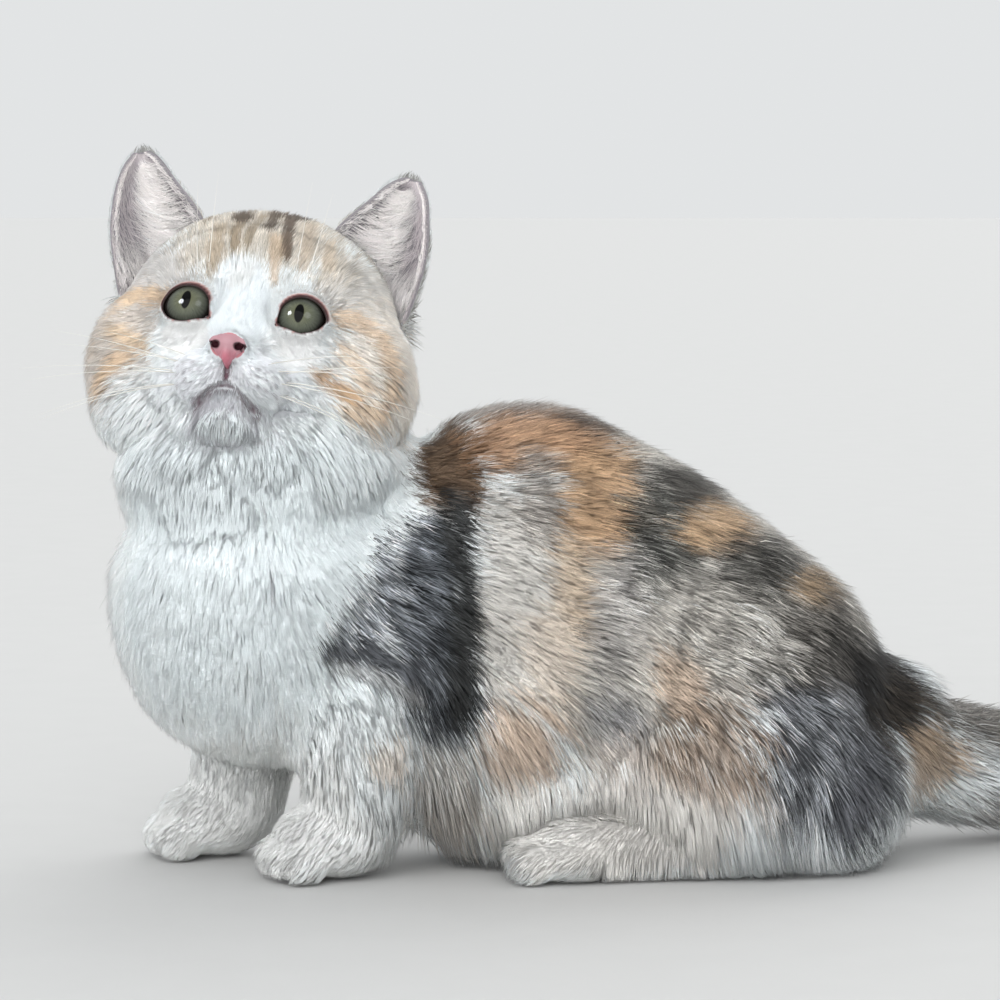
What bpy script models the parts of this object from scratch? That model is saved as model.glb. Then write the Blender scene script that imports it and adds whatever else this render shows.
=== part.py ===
"""A young munchkin cat as a life-size still model, in metres, +Z up.

The cat crouches on the floor: its short forelegs stand, its hind feet and rump
rest flat, its back is arched and its head is raised. The body runs along X with
the tail at +X, the chest turns towards -Y, and the face looks to -Y and up.
The solids reach out to the tips of the coat, and are parted where a person
would name the parts: head, jaw, nose, ears, eyes, neck, chest, abdomen, rump,
each foreleg, forepaw, thigh and hind foot, and the tail.
"""

import math
import random
from typing import NamedTuple

import bmesh
import bpy
from mathutils import Matrix, Vector
from mathutils.bvhtree import BVHTree

# Sizes that the whole model follows. The origin is the middle of the model's
# footprint, and the lobes below are placed from a point under the mid back.
MID_BACK = Vector((-0.0805, -0.0270, 0.0))
GAP = 0.0003
SOLE_LEVEL = 0.0
SIDES = {"right": -1, "left": 1}
LEVEL_ANGLE = 1.0

# How finely the blended forms are meshed, and how far they are smoothed.
BODY_VOXEL = 0.0028
BODY_SMOOTHING = 24
BODY_TRIANGLES = 1750
PAW_VOXEL = 0.0015
PAW_SMOOTHING = 5
PAW_TRIANGLES = 400
SKULL_VOXEL = 0.0022
SKULL_SMOOTHING = 26
SKULL_TRIANGLES = 6000
FACE_VOXEL = 0.0013
FACE_SMOOTHING = 9
FACE_TRIANGLES = 2100

# The body's lobes, named for what lies under the coat: centre, radii, turn about Z.
BODY_LOBES = {
    "prow": ((-0.0825, -0.014, 0.096), (0.055, 0.055, 0.060), 0),
    "throat": ((-0.083, -0.014, 0.141), (0.0535, 0.052, 0.040), 0),
    "nape": ((-0.074, 0.016, 0.156), (0.041, 0.040, 0.040), 0),
    "shoulder_left": ((-0.044, -0.032, 0.084), (0.031, 0.026, 0.045), 0),
    "shoulder_right": ((-0.096, 0.022, 0.084), (0.032, 0.026, 0.044), 0),
    "withers": ((-0.042, 0.006, 0.116), (0.042, 0.040, 0.034), 0),
    "ribs": ((-0.026, 0.002, 0.090), (0.066, 0.053, 0.060), 14),
    "mid_back": ((0.008, 0.004, 0.104), (0.062, 0.054, 0.060), 8),
    "loin": ((0.044, 0.006, 0.084), (0.058, 0.056, 0.062), 0),
    "croup": ((0.080, 0.008, 0.060), (0.059, 0.058, 0.057), 0),
    "belly": ((0.012, 0.000, 0.054), (0.084, 0.048, 0.051), 4),
    "seat": ((0.114, 0.006, 0.032), (0.036, 0.046, 0.036), 0),
    "buttock_left": ((0.112, -0.016, 0.028), (0.034, 0.034, 0.033), 0),
    "tail_root": ((0.136, 0.018, 0.046), (0.026, 0.030, 0.029), 0),
    "thigh_left": ((0.078, -0.030, 0.046), (0.050, 0.031, 0.045), 0),
    "thigh_right": ((0.080, 0.046, 0.046), (0.050, 0.031, 0.045), 0),
}

# Each limb is a path from the trunk outwards, with the radius at each point.
LIMBS = {
    "foreleg_left": (
        ((-0.044, -0.030, 0.072), (-0.046, -0.033, 0.046), (-0.049, -0.033, 0.022)),
        (0.030, 0.026, 0.0195),
    ),
    "foreleg_right": (
        ((-0.092, 0.016, 0.070), (-0.091, 0.013, 0.044), (-0.094, 0.012, 0.022)),
        (0.027, 0.021, 0.0185),
    ),
    "tail": (
        (
            (0.130, 0.016, 0.044),
            (0.158, 0.030, 0.032),
            (0.192, 0.046, 0.0250),
            (0.228, 0.062, 0.0242),
            (0.262, 0.080, 0.0222),
            (0.286, 0.100, 0.0180),
            (0.296, 0.114, 0.0140),
        ),
        (0.027, 0.0250, 0.0242, 0.0236, 0.0215, 0.0165, 0.0100),
    ),
}
LIMB_STEP = 0.2

# Paws: middle of the paw, which way its toes point in the plan, half its length,
# half its width and its height. Toes fan out over TOE_FAN degrees.
PAWS = {
    "forepaw_left": ((-0.0575, -0.036), 208, 0.0225, 0.0190, 0.0285),
    "forepaw_right": ((-0.1015, 0.009), 196, 0.0215, 0.0185, 0.0280),
    "hindfoot_left": ((0.024, -0.043), 188, 0.0200, 0.0165, 0.0185),
    "hindfoot_right": ((0.026, 0.056), 176, 0.0200, 0.0165, 0.0185),
}
PAW_LEGS = {"forepaw_left": "foreleg_left", "forepaw_right": "foreleg_right"}
PAW_BOXES = {
    "forepaw_left": ((-0.095, -0.075, -0.1), (-0.024, -0.010, 0.024)),
    "forepaw_right": ((-0.140, -0.009, -0.1), (-0.066, 0.045, 0.024)),
    "hindfoot_left": ((-0.012, -0.080, -0.1), (0.050, -0.024, 0.0195)),
    "hindfoot_right": ((-0.012, 0.036, -0.1), (0.050, 0.090, 0.0195)),
}
TOES = 4
TOE_FAN = 66
TOE_RADIUS = 0.0085
HEEL_RUN = 0.062
HEEL_RADIUS = 0.0125

# The head in its own frame: x forward, y to the cat's left, z up. The head's node
# is what lies within HEAD_REACH of HEAD_REGION.
HEAD_REGION = Vector((0.000, 0.0, 0.004))
HEAD_REACH = Vector((0.068, 0.076, 0.054))
HEAD_PLACE = Vector((-0.0860, -0.0178, 0.1808))
HEAD_YAW, HEAD_PITCH, HEAD_ROLL = 4.0, 22.5, 6.2
SKULL_LOBES = {
    "skull": ((-0.010, 0.0, 0.0105), (0.0415, 0.0500, 0.0445)),
    "occiput": ((-0.028, 0.0, -0.002), (0.028, 0.044, 0.038)),
    "throatlatch": ((-0.004, 0.0, -0.020), (0.034, 0.042, 0.024)),
    "forehead": ((0.008, 0.0, 0.019), (0.0245, 0.029, 0.026)),
    "muzzle_root": ((0.018, 0.0, -0.016), (0.022, 0.024, 0.018)),
}
SKULL_PAIRS = {
    "cheek": ((-0.006, 0.0310, -0.006), (0.029, 0.0285, 0.0295)),
    "jowl": ((-0.003, 0.0280, -0.021), (0.028, 0.0275, 0.022)),
    "orbit": ((0.0120, 0.0220, 0.004), (0.0170, 0.0180, 0.0170)),
}
# Smaller lobes are set on the smoothed skull, and stay crisper than it.
FACE_LOBES = {
    "bridge": ((0.0260, 0.0, -0.003), (0.0165, 0.0100, 0.0145)),
    "nose_root": ((0.0370, 0.0, -0.012), (0.0130, 0.0085, 0.0085)),
    "nose_tip": ((0.0455, 0.0, -0.0140), (0.0080, 0.0058, 0.0058)),
    "chin": ((0.0315, 0.0, -0.0365), (0.0120, 0.0122, 0.0085)),
    "mandible": ((0.0160, 0.0, -0.0350), (0.0220, 0.0210, 0.0130)),
}
FACE_PAIRS = {
    "nostril_wing": ((0.0468, 0.0042, -0.0148), (0.0058, 0.0036, 0.0040)),
    "whisker_pad": ((0.0350, 0.0088, -0.0225), (0.0145, 0.0112, 0.0100)),
    "brow": ((0.0130, 0.0190, 0.014), (0.0150, 0.0150, 0.0120)),
    "muzzle_side": ((0.0170, 0.0170, -0.017), (0.0160, 0.0135, 0.0135)),
}

# Eyes: the globe, and the opening between the lids.
EYE_PLACE = Vector((0.0205, 0.0198, 0.0045))
EYE_RADIUS = 0.0110
EYE_SEGMENTS = 16
LID_THICKNESS = 0.0014
LID_OPENING = (0.0089, 0.0076)
EYE_SPLAY = 12
EYE_LIFT = 4

# The nose leather is what lies in this lobe, and the nostrils are sunk in its front.
NOSE_PLACE = Vector((0.0515, 0.0, -0.0150))
NOSE_RADII = Vector((0.0060, 0.0074, 0.0058))
NOSTRIL_PLACE = Vector((0.0512, 0.0036, -0.0160))
NOSTRIL_RADII = (0.0036, 0.0013, 0.0011)
NOSTRIL_TURN = 25

# The lower jaw lies in this lobe, whose top is the line of the mouth.
JAW_PLACE = Vector((0.030, 0.0, -0.0450))
JAW_RADII = Vector((0.026, 0.0152, 0.0155))

# Ears: points along the edge nearer the crown and along the outer edge, both from
# the root to the tip; how deep the cup is; and how far each tip leans outwards.
EAR_INNER = (
    (0.002, 0.0190, 0.034),
    (0.002, 0.0240, 0.0480),
    (-0.001, 0.0340, 0.0605),
    (-0.004, 0.0425, 0.0702),
    (-0.006, 0.0480, 0.0736),
)
EAR_OUTER = (
    (-0.010, 0.0480, 0.008),
    (-0.009, 0.0540, 0.0280),
    (-0.008, 0.0575, 0.0460),
    (-0.007, 0.0562, 0.0640),
    (-0.006, 0.0520, 0.0728),
)
EAR_CUP = 0.016
EAR_THICKNESS = 0.0022
EAR_LEAN = {"left": -0.0040, "right": 0.0025}
EAR_STEPS = (8, 3)

# Locks of the long coat: flat and tapered, rooted below the surface and lying along it.
# Stations run from the root to just short of the tip, each with its share of the
# lock's length, its share of the width and thickness, and its share of the lift.
LOCK_STATIONS = ((0.0, 0.75, 0.6, 0.0), (0.36, 1.0, 1.0, 0.15), (0.72, 0.66, 0.75, 0.55))
LOCK_THICKNESS = 0.0050
LOCK_ROOT_DEPTH = 0.0060
LOCK_FLOOR_CLEARANCE = 0.0006
LOCK_VARIATION = 0.15
LOCK_BEND = 14
LOCK_SEED = 11

# The bib hangs down the chest, in levels round the chest's upright axis.
BIB_AXIS = (-0.083, -0.014)
BIB_LEVELS = (0.134, 0.112, 0.091, 0.071)
BIB_TURNS = (-190, -50)
BIB_ACROSS = 7
BIB_LOCK = (0.037, 0.0165, 0.0055)
# The fringe hangs from the flanks, shorter where it overhangs the hind feet.
FRINGE_RUNS = {-1: (-0.030, 0.040, 7), 1: (-0.030, 0.028, 5)}
FRINGE_HEIGHT = 0.037
FRINGE_FOOT_START = -0.013
FRINGE_LOCK = (0.034, 0.0135, 0.0030)
FRINGE_OVER_FOOT = 0.018
# The breeches hang behind the haunches, on both sides of the tail.
BREECH_AXIS = (0.085, 0.004)
BREECH_LEVELS = (0.066, 0.042)
BREECH_TURNS = ((-78, -24, 3), (48, 84, 2))
BREECH_LOCK = (0.032, 0.0175, 0.0040)
# The brush of the tail: rings of locks that lie towards its tip.
BRUSH_SPANS = (1.2, 2.2, 3.2, 4.3)
BRUSH_TURNS = (-62, 242)
BRUSH_ACROSS = 5
BRUSH_LOCK = (0.042, 0.0165, 0.0050)
# The ruff behind each cheek, by how far round the head it grows.
RUFF_TURNS = (-66, -10)
RUFF_ACROSS = 3
RUFF_SETBACK = -0.010
RUFF_LOCK = (0.020, 0.0130, 0.0035)

# The coat's colours, one for each finish of the part.
COLOURS = {
    "white_coat": ((0.78, 0.79, 0.78), 0.9),
    "cream_coat": ((0.62, 0.50, 0.38), 0.9),
    "grey_coat": ((0.17, 0.17, 0.18), 0.9),
    "patched_coat": ((0.45, 0.39, 0.32), 0.9),
    "nose_leather": ((0.68, 0.30, 0.33), 0.45),
    "iris": ((0.26, 0.28, 0.18), 0.08),
}
NODE_COLOURS = {
    "head": "cream_coat",
    "ear_left": "white_coat",
    "ear_right": "white_coat",
    "eye_left": "iris",
    "eye_right": "iris",
    "nose": "nose_leather",
    "abdomen": "patched_coat",
    "rump": "grey_coat",
    "thigh_left": "patched_coat",
    "thigh_right": "patched_coat",
    "tail_base": "grey_coat",
    "tail_middle": "grey_coat",
    "tail_tip": "grey_coat",
}


def clear_scene():
    """Removes every object of the scene."""
    for obj in list(bpy.data.objects):
        bpy.data.objects.remove(obj)


def new_collection(name):
    """A collection in the scene."""
    made = bpy.data.collections.new(name)
    bpy.context.scene.collection.children.link(made)
    return made


def link_mesh(name, mesh, collection):
    """An object for a mesh, in a collection."""
    obj = bpy.data.objects.new(name, mesh)
    collection.objects.link(obj)
    return obj


def mesh_of(shape, name):
    """A mesh from a bmesh, which is freed."""
    mesh = bpy.data.meshes.new(name)
    shape.to_mesh(mesh)
    shape.free()
    return mesh


def baked(obj):
    """The object with its modifiers applied, and its place in its mesh."""
    bpy.context.view_layer.update()
    graph = bpy.context.evaluated_depsgraph_get()
    mesh = bpy.data.meshes.new_from_object(obj.evaluated_get(graph))
    mesh.transform(obj.matrix_world)
    obj.modifiers.clear()
    obj.data = mesh
    obj.matrix_world = Matrix.Identity(4)
    return obj


def removed(obj):
    """Takes an object out of the file."""
    bpy.data.objects.remove(obj)


def add_lobe(shape, place, radii, segments=24):
    """Adds an ellipsoid to a bmesh: a matrix for its place, and its three radii."""
    size = Matrix.Diagonal((*radii, 1.0))
    bmesh.ops.create_uvsphere(
        shape, u_segments=segments, v_segments=segments // 2, radius=1.0, matrix=place @ size
    )


def smooth_path(points, steps):
    """Points on a smooth curve through the given ones, steps to each stretch."""
    padded = [2 * points[0] - points[1], *points, 2 * points[-1] - points[-2]]
    found = []
    for i in range(1, len(padded) - 2):
        a, b, c, d = padded[i - 1 : i + 3]
        for k in range(steps):
            t = k / steps
            found.append(
                0.5
                * (
                    2 * b
                    + (c - a) * t
                    + (2 * a - 5 * b + 4 * c - d) * t * t
                    + (3 * b - a - 3 * c + d) * t * t * t
                )
            )
    found.append(points[-1].copy())
    return found


def add_limb(shape, points, radii):
    """Adds a row of overlapping spheres along a path, to be fused into a limb."""
    stations = [Vector((*p, r)) for p, r in zip(points, radii)]
    steps = max(2, round(1 / LIMB_STEP))
    for station in smooth_path(stations, steps):
        radius = station[3]
        add_lobe(shape, Matrix.Translation(station[:3]), (radius,) * 3, 16)


def fused(name, shape, voxel, smoothing, triangles, collection):
    """One smooth closed mesh from a bmesh of overlapping lobes."""
    obj = link_mesh(name, mesh_of(shape, name), collection)
    remesh = obj.modifiers.new("fuse", "REMESH")
    remesh.mode = "VOXEL"
    remesh.voxel_size = voxel
    smooth = obj.modifiers.new("smooth", "SMOOTH")
    smooth.factor = 0.5
    smooth.iterations = smoothing
    baked(obj)
    faces = 2 * len(obj.data.polygons)
    thin = obj.modifiers.new("thin", "DECIMATE")
    thin.ratio = min(1.0, triangles / faces)
    return baked(obj)


def boolean(obj, other, operation):
    """Applies one Boolean of another closed mesh to an object."""
    cut = obj.modifiers.new(operation.lower(), "BOOLEAN")
    cut.operation = operation
    cut.solver = "EXACT"
    cut.object = other
    return baked(obj)


def grown(obj, by, collection):
    """A copy of a smooth object with its surface moved out by a distance."""
    copy = link_mesh(obj.name + "_grown", obj.data.copy(), collection)
    for vertex, normal in zip(copy.data.vertices, [n.vector.copy() for n in obj.data.vertex_normals]):
        vertex.co += normal * by
    return copy


def largest_piece(obj):
    """Keeps only the biggest closed surface of an object."""
    shape = bmesh.new()
    shape.from_mesh(obj.data)
    shape.verts.ensure_lookup_table()
    unseen = set(shape.verts)
    islands = []
    while unseen:
        front = [unseen.pop()]
        island = list(front)
        while front:
            for edge in front.pop().link_edges:
                for vertex in edge.verts:
                    if vertex in unseen:
                        unseen.discard(vertex)
                        front.append(vertex)
                        island.append(vertex)
        islands.append(island)
    islands.sort(key=len)
    for island in islands[:-1]:
        bmesh.ops.delete(shape, geom=island, context="VERTS")
    shape.to_mesh(obj.data)
    shape.free()
    return obj


def region_lobe(name, place, radii, extra, collection, segments=18):
    """An ellipsoid that marks a node's place, grown by an extra margin."""
    shape = bmesh.new()
    add_lobe(shape, place, [r + extra for r in radii], segments)
    return link_mesh(name, mesh_of(shape, name), collection)


def region_box(name, low, high, extra, place, collection):
    """A box that marks a node's place, grown by an extra margin."""
    shape = bmesh.new()
    bmesh.ops.create_cube(shape, size=1.0)
    size = Vector(high) - Vector(low) + Vector((2 * extra,) * 3)
    middle = (Vector(high) + Vector(low)) / 2
    bmesh.ops.transform(
        shape,
        matrix=place @ Matrix.Translation(middle) @ Matrix.Diagonal((*size, 1.0)),
        verts=shape.verts,
    )
    return link_mesh(name, mesh_of(shape, name), collection)


def turned(place, turn=0.0, axis="Z"):
    """A matrix that puts something at a place, turned about an axis in degrees."""
    return Matrix.Translation(Vector(place)) @ Matrix.Rotation(math.radians(turn), 4, axis)


def split(whole, name, make_region, scratch, collection):
    """Takes a named node out of the whole where a region holds it, and leaves a gap."""
    node = link_mesh(name, whole.data.copy(), collection)
    inner = make_region(0.0)
    boolean(node, inner, "INTERSECT")
    removed(inner)
    outer = make_region(GAP)
    boolean(whole, outer, "DIFFERENCE")
    removed(outer)
    largest_piece(whole)
    return largest_piece(node)


def paw_region(name, extra, scratch):
    """The box that parts a paw from its leg."""
    low, high = PAW_BOXES[name]
    return region_box("paw_box", low, high, extra, Matrix.Identity(4), scratch)


def floor_region(scratch):
    """Everything under the level of the soles."""
    low = Vector((-1, -1, -1)) + Vector((0, 0, SOLE_LEVEL))
    return region_box("floor", low, (1, 1, SOLE_LEVEL), 0.0, Matrix.Identity(4), scratch)


def cut_by(obj, region, operation="DIFFERENCE"):
    """Cuts an object by a region that isn't used again."""
    boolean(obj, region, operation)
    removed(region)


class LockSite(NamedTuple):
    """Where a lock grows: a point inside, the way out to the surface, and its lie."""

    inside: Vector
    outwards: Vector
    lie: Vector
    length: float
    width: float
    lift: float


def spaced(ends, count, level):
    """Evenly spaced values between two ends, moved on by half a step on odd levels."""
    step = (ends[1] - ends[0]) / count
    return [ends[0] + step * (i + 0.25 + 0.5 * (level % 2)) for i in range(count)]


def level_direction(turn):
    """The level direction at a turn from +X, in degrees."""
    return Vector((math.cos(math.radians(turn)), math.sin(math.radians(turn)), 0.0))


def lock_sites():
    """Every lock of the coat, region by region."""
    down = Vector((0, 0, -1))
    for level, height in enumerate(BIB_LEVELS):
        for turn in spaced(BIB_TURNS, BIB_ACROSS, level):
            yield LockSite(Vector((*BIB_AXIS, height)), level_direction(turn), down, *BIB_LOCK)
    for side, (start, end, count) in FRINGE_RUNS.items():
        for x in spaced((start, end), count, 1):
            length, width, lift = FRINGE_LOCK
            if x > FRINGE_FOOT_START:
                length = FRINGE_OVER_FOOT
            lie = Vector((0.25, 0.10 * side, -1))
            yield LockSite(Vector((x, 0, FRINGE_HEIGHT)), Vector((0, side, 0)), lie, length, width, lift)
    for level, height in enumerate(BREECH_LEVELS):
        for first, last, count in BREECH_TURNS:
            for turn in spaced((first, last), count, level):
                way = level_direction(turn)
                lie = down + way * 0.4
                yield LockSite(Vector((*BREECH_AXIS, height)), way, lie, *BREECH_LOCK)
    route = smooth_path([Vector(p) for p in LIMBS["tail"][0]], 10)
    for level, span in enumerate(BRUSH_SPANS):
        place = round(span * 10)
        along = (route[place + 1] - route[place - 1]).normalized()
        across = along.cross(Vector((0, 0, 1))).normalized()
        upwards = across.cross(along)
        for turn in spaced(BRUSH_TURNS, BRUSH_ACROSS, level):
            angle = math.radians(turn)
            way = across * math.cos(angle) + upwards * math.sin(angle)
            yield LockSite(route[place], way, along, *BRUSH_LOCK)
    head = head_matrix()
    for side in SIDES.values():
        for turn in spaced(RUFF_TURNS, RUFF_ACROSS, 1):
            angle = math.radians(turn)
            way = head.to_3x3() @ Vector((0, side * math.cos(angle), math.sin(angle)))
            lie = head.to_3x3() @ Vector((-0.5, 0.35 * side, -1))
            yield LockSite(head @ Vector((RUFF_SETBACK, 0, 0)), way, lie, *RUFF_LOCK)


def lock_mesh(site, surface, chance):
    """One flat tapered lock that follows the surface, as a closed mesh."""
    point, normal, _, _ = surface.ray_cast(site.inside, site.outwards)
    vary = [1 + chance.uniform(-LOCK_VARIATION, LOCK_VARIATION) for _ in range(3)]
    lie = site.lie + Vector([chance.uniform(-LOCK_VARIATION, LOCK_VARIATION) for _ in range(3)])
    bend = math.radians(chance.uniform(-LOCK_BEND, LOCK_BEND))
    length = site.length * vary[0]
    shape = bmesh.new()
    rings = []
    reached = 0.0
    for share, width, thickness, lift in (*LOCK_STATIONS, (1.0, 0.0, 0.0, 1.0)):
        lie = Matrix.Rotation(bend, 3, normal) @ lie
        flat = (lie - normal * lie.dot(normal)).normalized()
        point, normal, _, _ = surface.find_nearest(point + flat * (share - reached) * length)
        reached = share
        height = site.lift * lift * vary[1] - (LOCK_ROOT_DEPTH if share == 0 else 0.0)
        middle = point + normal * height
        across = flat.cross(normal).normalized() * width * site.width * vary[2] / 2
        out = normal * thickness * LOCK_THICKNESS / 2
        corners = [middle + across, middle + out, middle - across, middle - out]
        if width == 0:
            corners = [middle]
        for corner in corners:
            corner.z = max(corner.z, SOLE_LEVEL + LOCK_FLOOR_CLEARANCE)
        rings.append([shape.verts.new(corner) for corner in corners])
    for near, far in zip(rings, rings[1:-1]):
        for i in range(4):
            shape.faces.new((near[i], near[(i + 1) % 4], far[(i + 1) % 4], far[i]))
    for i in range(4):
        shape.faces.new((rings[-2][i], rings[-2][(i + 1) % 4], rings[-1][0]))
    shape.faces.new(list(reversed(rings[0])))
    bmesh.ops.triangulate(shape, faces=shape.faces)
    bmesh.ops.recalc_face_normals(shape, faces=shape.faces)
    return mesh_of(shape, "lock")


def add_coat(whole):
    """Fuses the locks of the long coat to the body in one union."""
    chance = random.Random(LOCK_SEED)
    surface = BVHTree.FromPolygons(
        [v.co for v in whole.data.vertices], [p.vertices for p in whole.data.polygons]
    )
    locks = new_collection("locks")
    for site in lock_sites():
        link_mesh("lock", lock_mesh(site, surface, chance), locks)
    union = whole.modifiers.new("coat", "BOOLEAN")
    union.operation = "UNION"
    union.solver = "EXACT"
    union.operand_type = "COLLECTION"
    union.collection = locks
    baked(whole)
    for lock in list(locks.objects):
        removed(lock)
    bpy.data.collections.remove(locks)
    return largest_piece(whole)


def build_trunk(scratch):
    """The trunk, legs, paws and tail as one form."""
    shape = bmesh.new()
    for centre, radii, turn in BODY_LOBES.values():
        add_lobe(shape, turned(centre, turn), radii)
    for points, radii in LIMBS.values():
        add_limb(shape, points, radii)
    for name in PAWS:
        add_paw(shape, name)
    return fused("body", shape, BODY_VOXEL, BODY_SMOOTHING, BODY_TRIANGLES, scratch)


def part_paws(body, scratch, collection):
    """The paws, meshed finely as nodes of their own in place of the trunk's own."""
    cut_by(body, floor_region(scratch))
    paws = []
    for name in PAWS:
        shape = bmesh.new()
        add_paw(shape, name)
        if name in PAW_LEGS:
            add_limb(shape, *LIMBS[PAW_LEGS[name]])
        paw = fused(name, shape, PAW_VOXEL, PAW_SMOOTHING, PAW_TRIANGLES, collection)
        cut_by(paw, floor_region(scratch))
        cut_by(paw, paw_region(name, 0.0, scratch), "INTERSECT")
        cut_by(body, paw_region(name, GAP, scratch))
        paws.append(largest_piece(paw))
    return paws


def add_paw(shape, name):
    """Adds a paw with its fan of toes, and on a hind foot the long heel behind it."""
    middle, heading, half_length, half_width, height = PAWS[name]
    place = turned((*middle, height / 2), heading)
    add_lobe(shape, place, (half_length, half_width, height / 2 + 0.001))
    for i in range(TOES):
        share = i / (TOES - 1) - 0.5
        angle = math.radians(share * TOE_FAN)
        reach = half_length - TOE_RADIUS * 0.55
        toe = Vector((math.cos(angle) * reach, math.sin(angle) * half_width * 1.15, 0.0))
        at = turned((*middle, TOE_RADIUS * 0.95), heading) @ Matrix.Translation(toe)
        add_lobe(shape, at, (TOE_RADIUS * 1.2, TOE_RADIUS * 0.82, TOE_RADIUS), 16)
    if name not in PAW_LEGS:
        back = turned((*middle, HEEL_RADIUS), heading) @ Vector((-HEEL_RUN, 0.0, 0.0))
        start = Vector((*middle, HEEL_RADIUS * 0.8))
        add_limb(shape, (start, (start + back) / 2, back), (HEEL_RADIUS,) * 3)


def head_matrix():
    """Where the head's own frame lies: x forward, y to the cat's left, z up."""
    yaw, pitch, roll = (math.radians(a) for a in (HEAD_YAW, HEAD_PITCH, HEAD_ROLL))
    ahead = Vector((-math.sin(yaw), -math.cos(yaw), 0.0))
    side = Vector((math.cos(yaw), -math.sin(yaw), 0.0))
    forward = math.cos(pitch) * ahead + Vector((0, 0, math.sin(pitch)))
    up = -math.sin(pitch) * ahead + Vector((0, 0, math.cos(pitch)))
    left = math.cos(roll) * side - math.sin(roll) * up
    up = math.sin(roll) * side + math.cos(roll) * up
    axes = Matrix((forward, left, up)).transposed().to_4x4()
    return Matrix.Translation(HEAD_PLACE) @ axes


def on_side(point, sign):
    """A point of the left side of the face, moved to the side asked for."""
    return Vector((point[0], point[1] * sign, point[2]))


def eye_matrix(sign):
    """The eye's frame in the head's: x looks out of the eye."""
    look = Matrix.Rotation(math.radians(EYE_SPLAY * sign), 4, "Z")
    lift = Matrix.Rotation(math.radians(-EYE_LIFT), 4, "Y")
    return Matrix.Translation(on_side(EYE_PLACE, sign)) @ look @ lift


def add_face_lobes(shape, middle, pairs):
    """Adds the lobes on the midline of the face, and those on both sides of it."""
    for centre, radii in middle.values():
        add_lobe(shape, Matrix.Translation(centre), radii)
    for centre, radii in pairs.values():
        for sign in SIDES.values():
            add_lobe(shape, Matrix.Translation(on_side(centre, sign)), radii)


def build_head(scratch):
    """The blended head with lids round open eyes, before it is parted."""
    shape = bmesh.new()
    add_face_lobes(shape, SKULL_LOBES, SKULL_PAIRS)
    skull = fused("skull", shape, SKULL_VOXEL, SKULL_SMOOTHING, SKULL_TRIANGLES, scratch)
    shape = bmesh.new()
    shape.from_mesh(skull.data)
    removed(skull)
    add_face_lobes(shape, FACE_LOBES, FACE_PAIRS)
    head = fused("head_whole", shape, FACE_VOXEL, FACE_SMOOTHING, FACE_TRIANGLES, scratch)
    for sign in SIDES.values():
        place = eye_matrix(sign)
        lid = (EYE_RADIUS + LID_THICKNESS,) * 3
        window = place @ Matrix.Translation((EYE_RADIUS, 0, 0))
        opening = (EYE_RADIUS, *LID_OPENING)
        globe = (EYE_RADIUS,) * 3
        cut_by(head, region_lobe("lid", place, lid, 0.0, scratch), "UNION")
        cut_by(head, region_lobe("window", window, opening, 0.0, scratch))
        cut_by(head, region_lobe("socket", place, globe, GAP, scratch, EYE_SEGMENTS))
    return largest_piece(head)


def build_eye(side, collection):
    """An eyeball."""
    shape = bmesh.new()
    add_lobe(shape, eye_matrix(SIDES[side]), (EYE_RADIUS,) * 3, EYE_SEGMENTS)
    return link_mesh("eye_" + side, mesh_of(shape, "eye"), collection)


def build_ear(side, collection):
    """The cupped shell of an ear, with its root below the skull's surface."""
    columns, stretch = EAR_STEPS
    inner = smooth_path([Vector(p) for p in EAR_INNER], stretch)
    outer = smooth_path([Vector(p) for p in EAR_OUTER], stretch)
    rows = len(inner) - 1
    shape = bmesh.new()
    bmesh.ops.create_grid(shape, x_segments=columns, y_segments=rows, size=1.0)
    for vertex in shape.verts:
        share = (vertex.co.x + 1) / 2
        row = round((vertex.co.y + 1) / 2 * rows)
        rise = row / rows
        point = inner[row].lerp(outer[row], share)
        point.x -= EAR_CUP * 4 * share * (1 - share) * (1 - rise) ** 0.7
        point.y += EAR_LEAN[side] * min(1.0, 0.2 + 1.2 * rise)
        vertex.co = on_side(point, SIDES[side])
    bmesh.ops.remove_doubles(shape, verts=shape.verts, dist=0.0002)
    bmesh.ops.recalc_face_normals(shape, faces=shape.faces)
    ear = link_mesh("ear_" + side, mesh_of(shape, "ear"), collection)
    wall = ear.modifiers.new("wall", "SOLIDIFY")
    wall.thickness = EAR_THICKNESS
    wall.offset = 0.0
    return baked(ear)


def part_head(head, scratch, collection):
    """Parts nose, jaw, ears and eyes from the head, all in the head's frame."""
    nodes = []

    def nose_region(extra):
        return region_lobe(
            "nose_region", Matrix.Translation(NOSE_PLACE), NOSE_RADII, extra, scratch
        )

    nose = split(head, "nose", nose_region, scratch, collection)
    for sign in SIDES.values():
        at = turned(on_side(NOSTRIL_PLACE, sign), NOSTRIL_TURN * sign)
        cut_by(nose, region_lobe("nostril", at, NOSTRIL_RADII, 0.0, scratch, 12))
    nodes.append(nose)

    def jaw_region(extra):
        return region_lobe("jaw_region", Matrix.Translation(JAW_PLACE), JAW_RADII, extra, scratch)

    nodes.append(split(head, "lower_jaw", jaw_region, scratch, collection))
    for side in SIDES:
        ear = build_ear(side, collection)
        skull = grown(head, GAP, scratch)
        boolean(ear, skull, "DIFFERENCE")
        removed(skull)
        nodes.append(largest_piece(ear))
        nodes.append(build_eye(side, collection))
    return nodes


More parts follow.
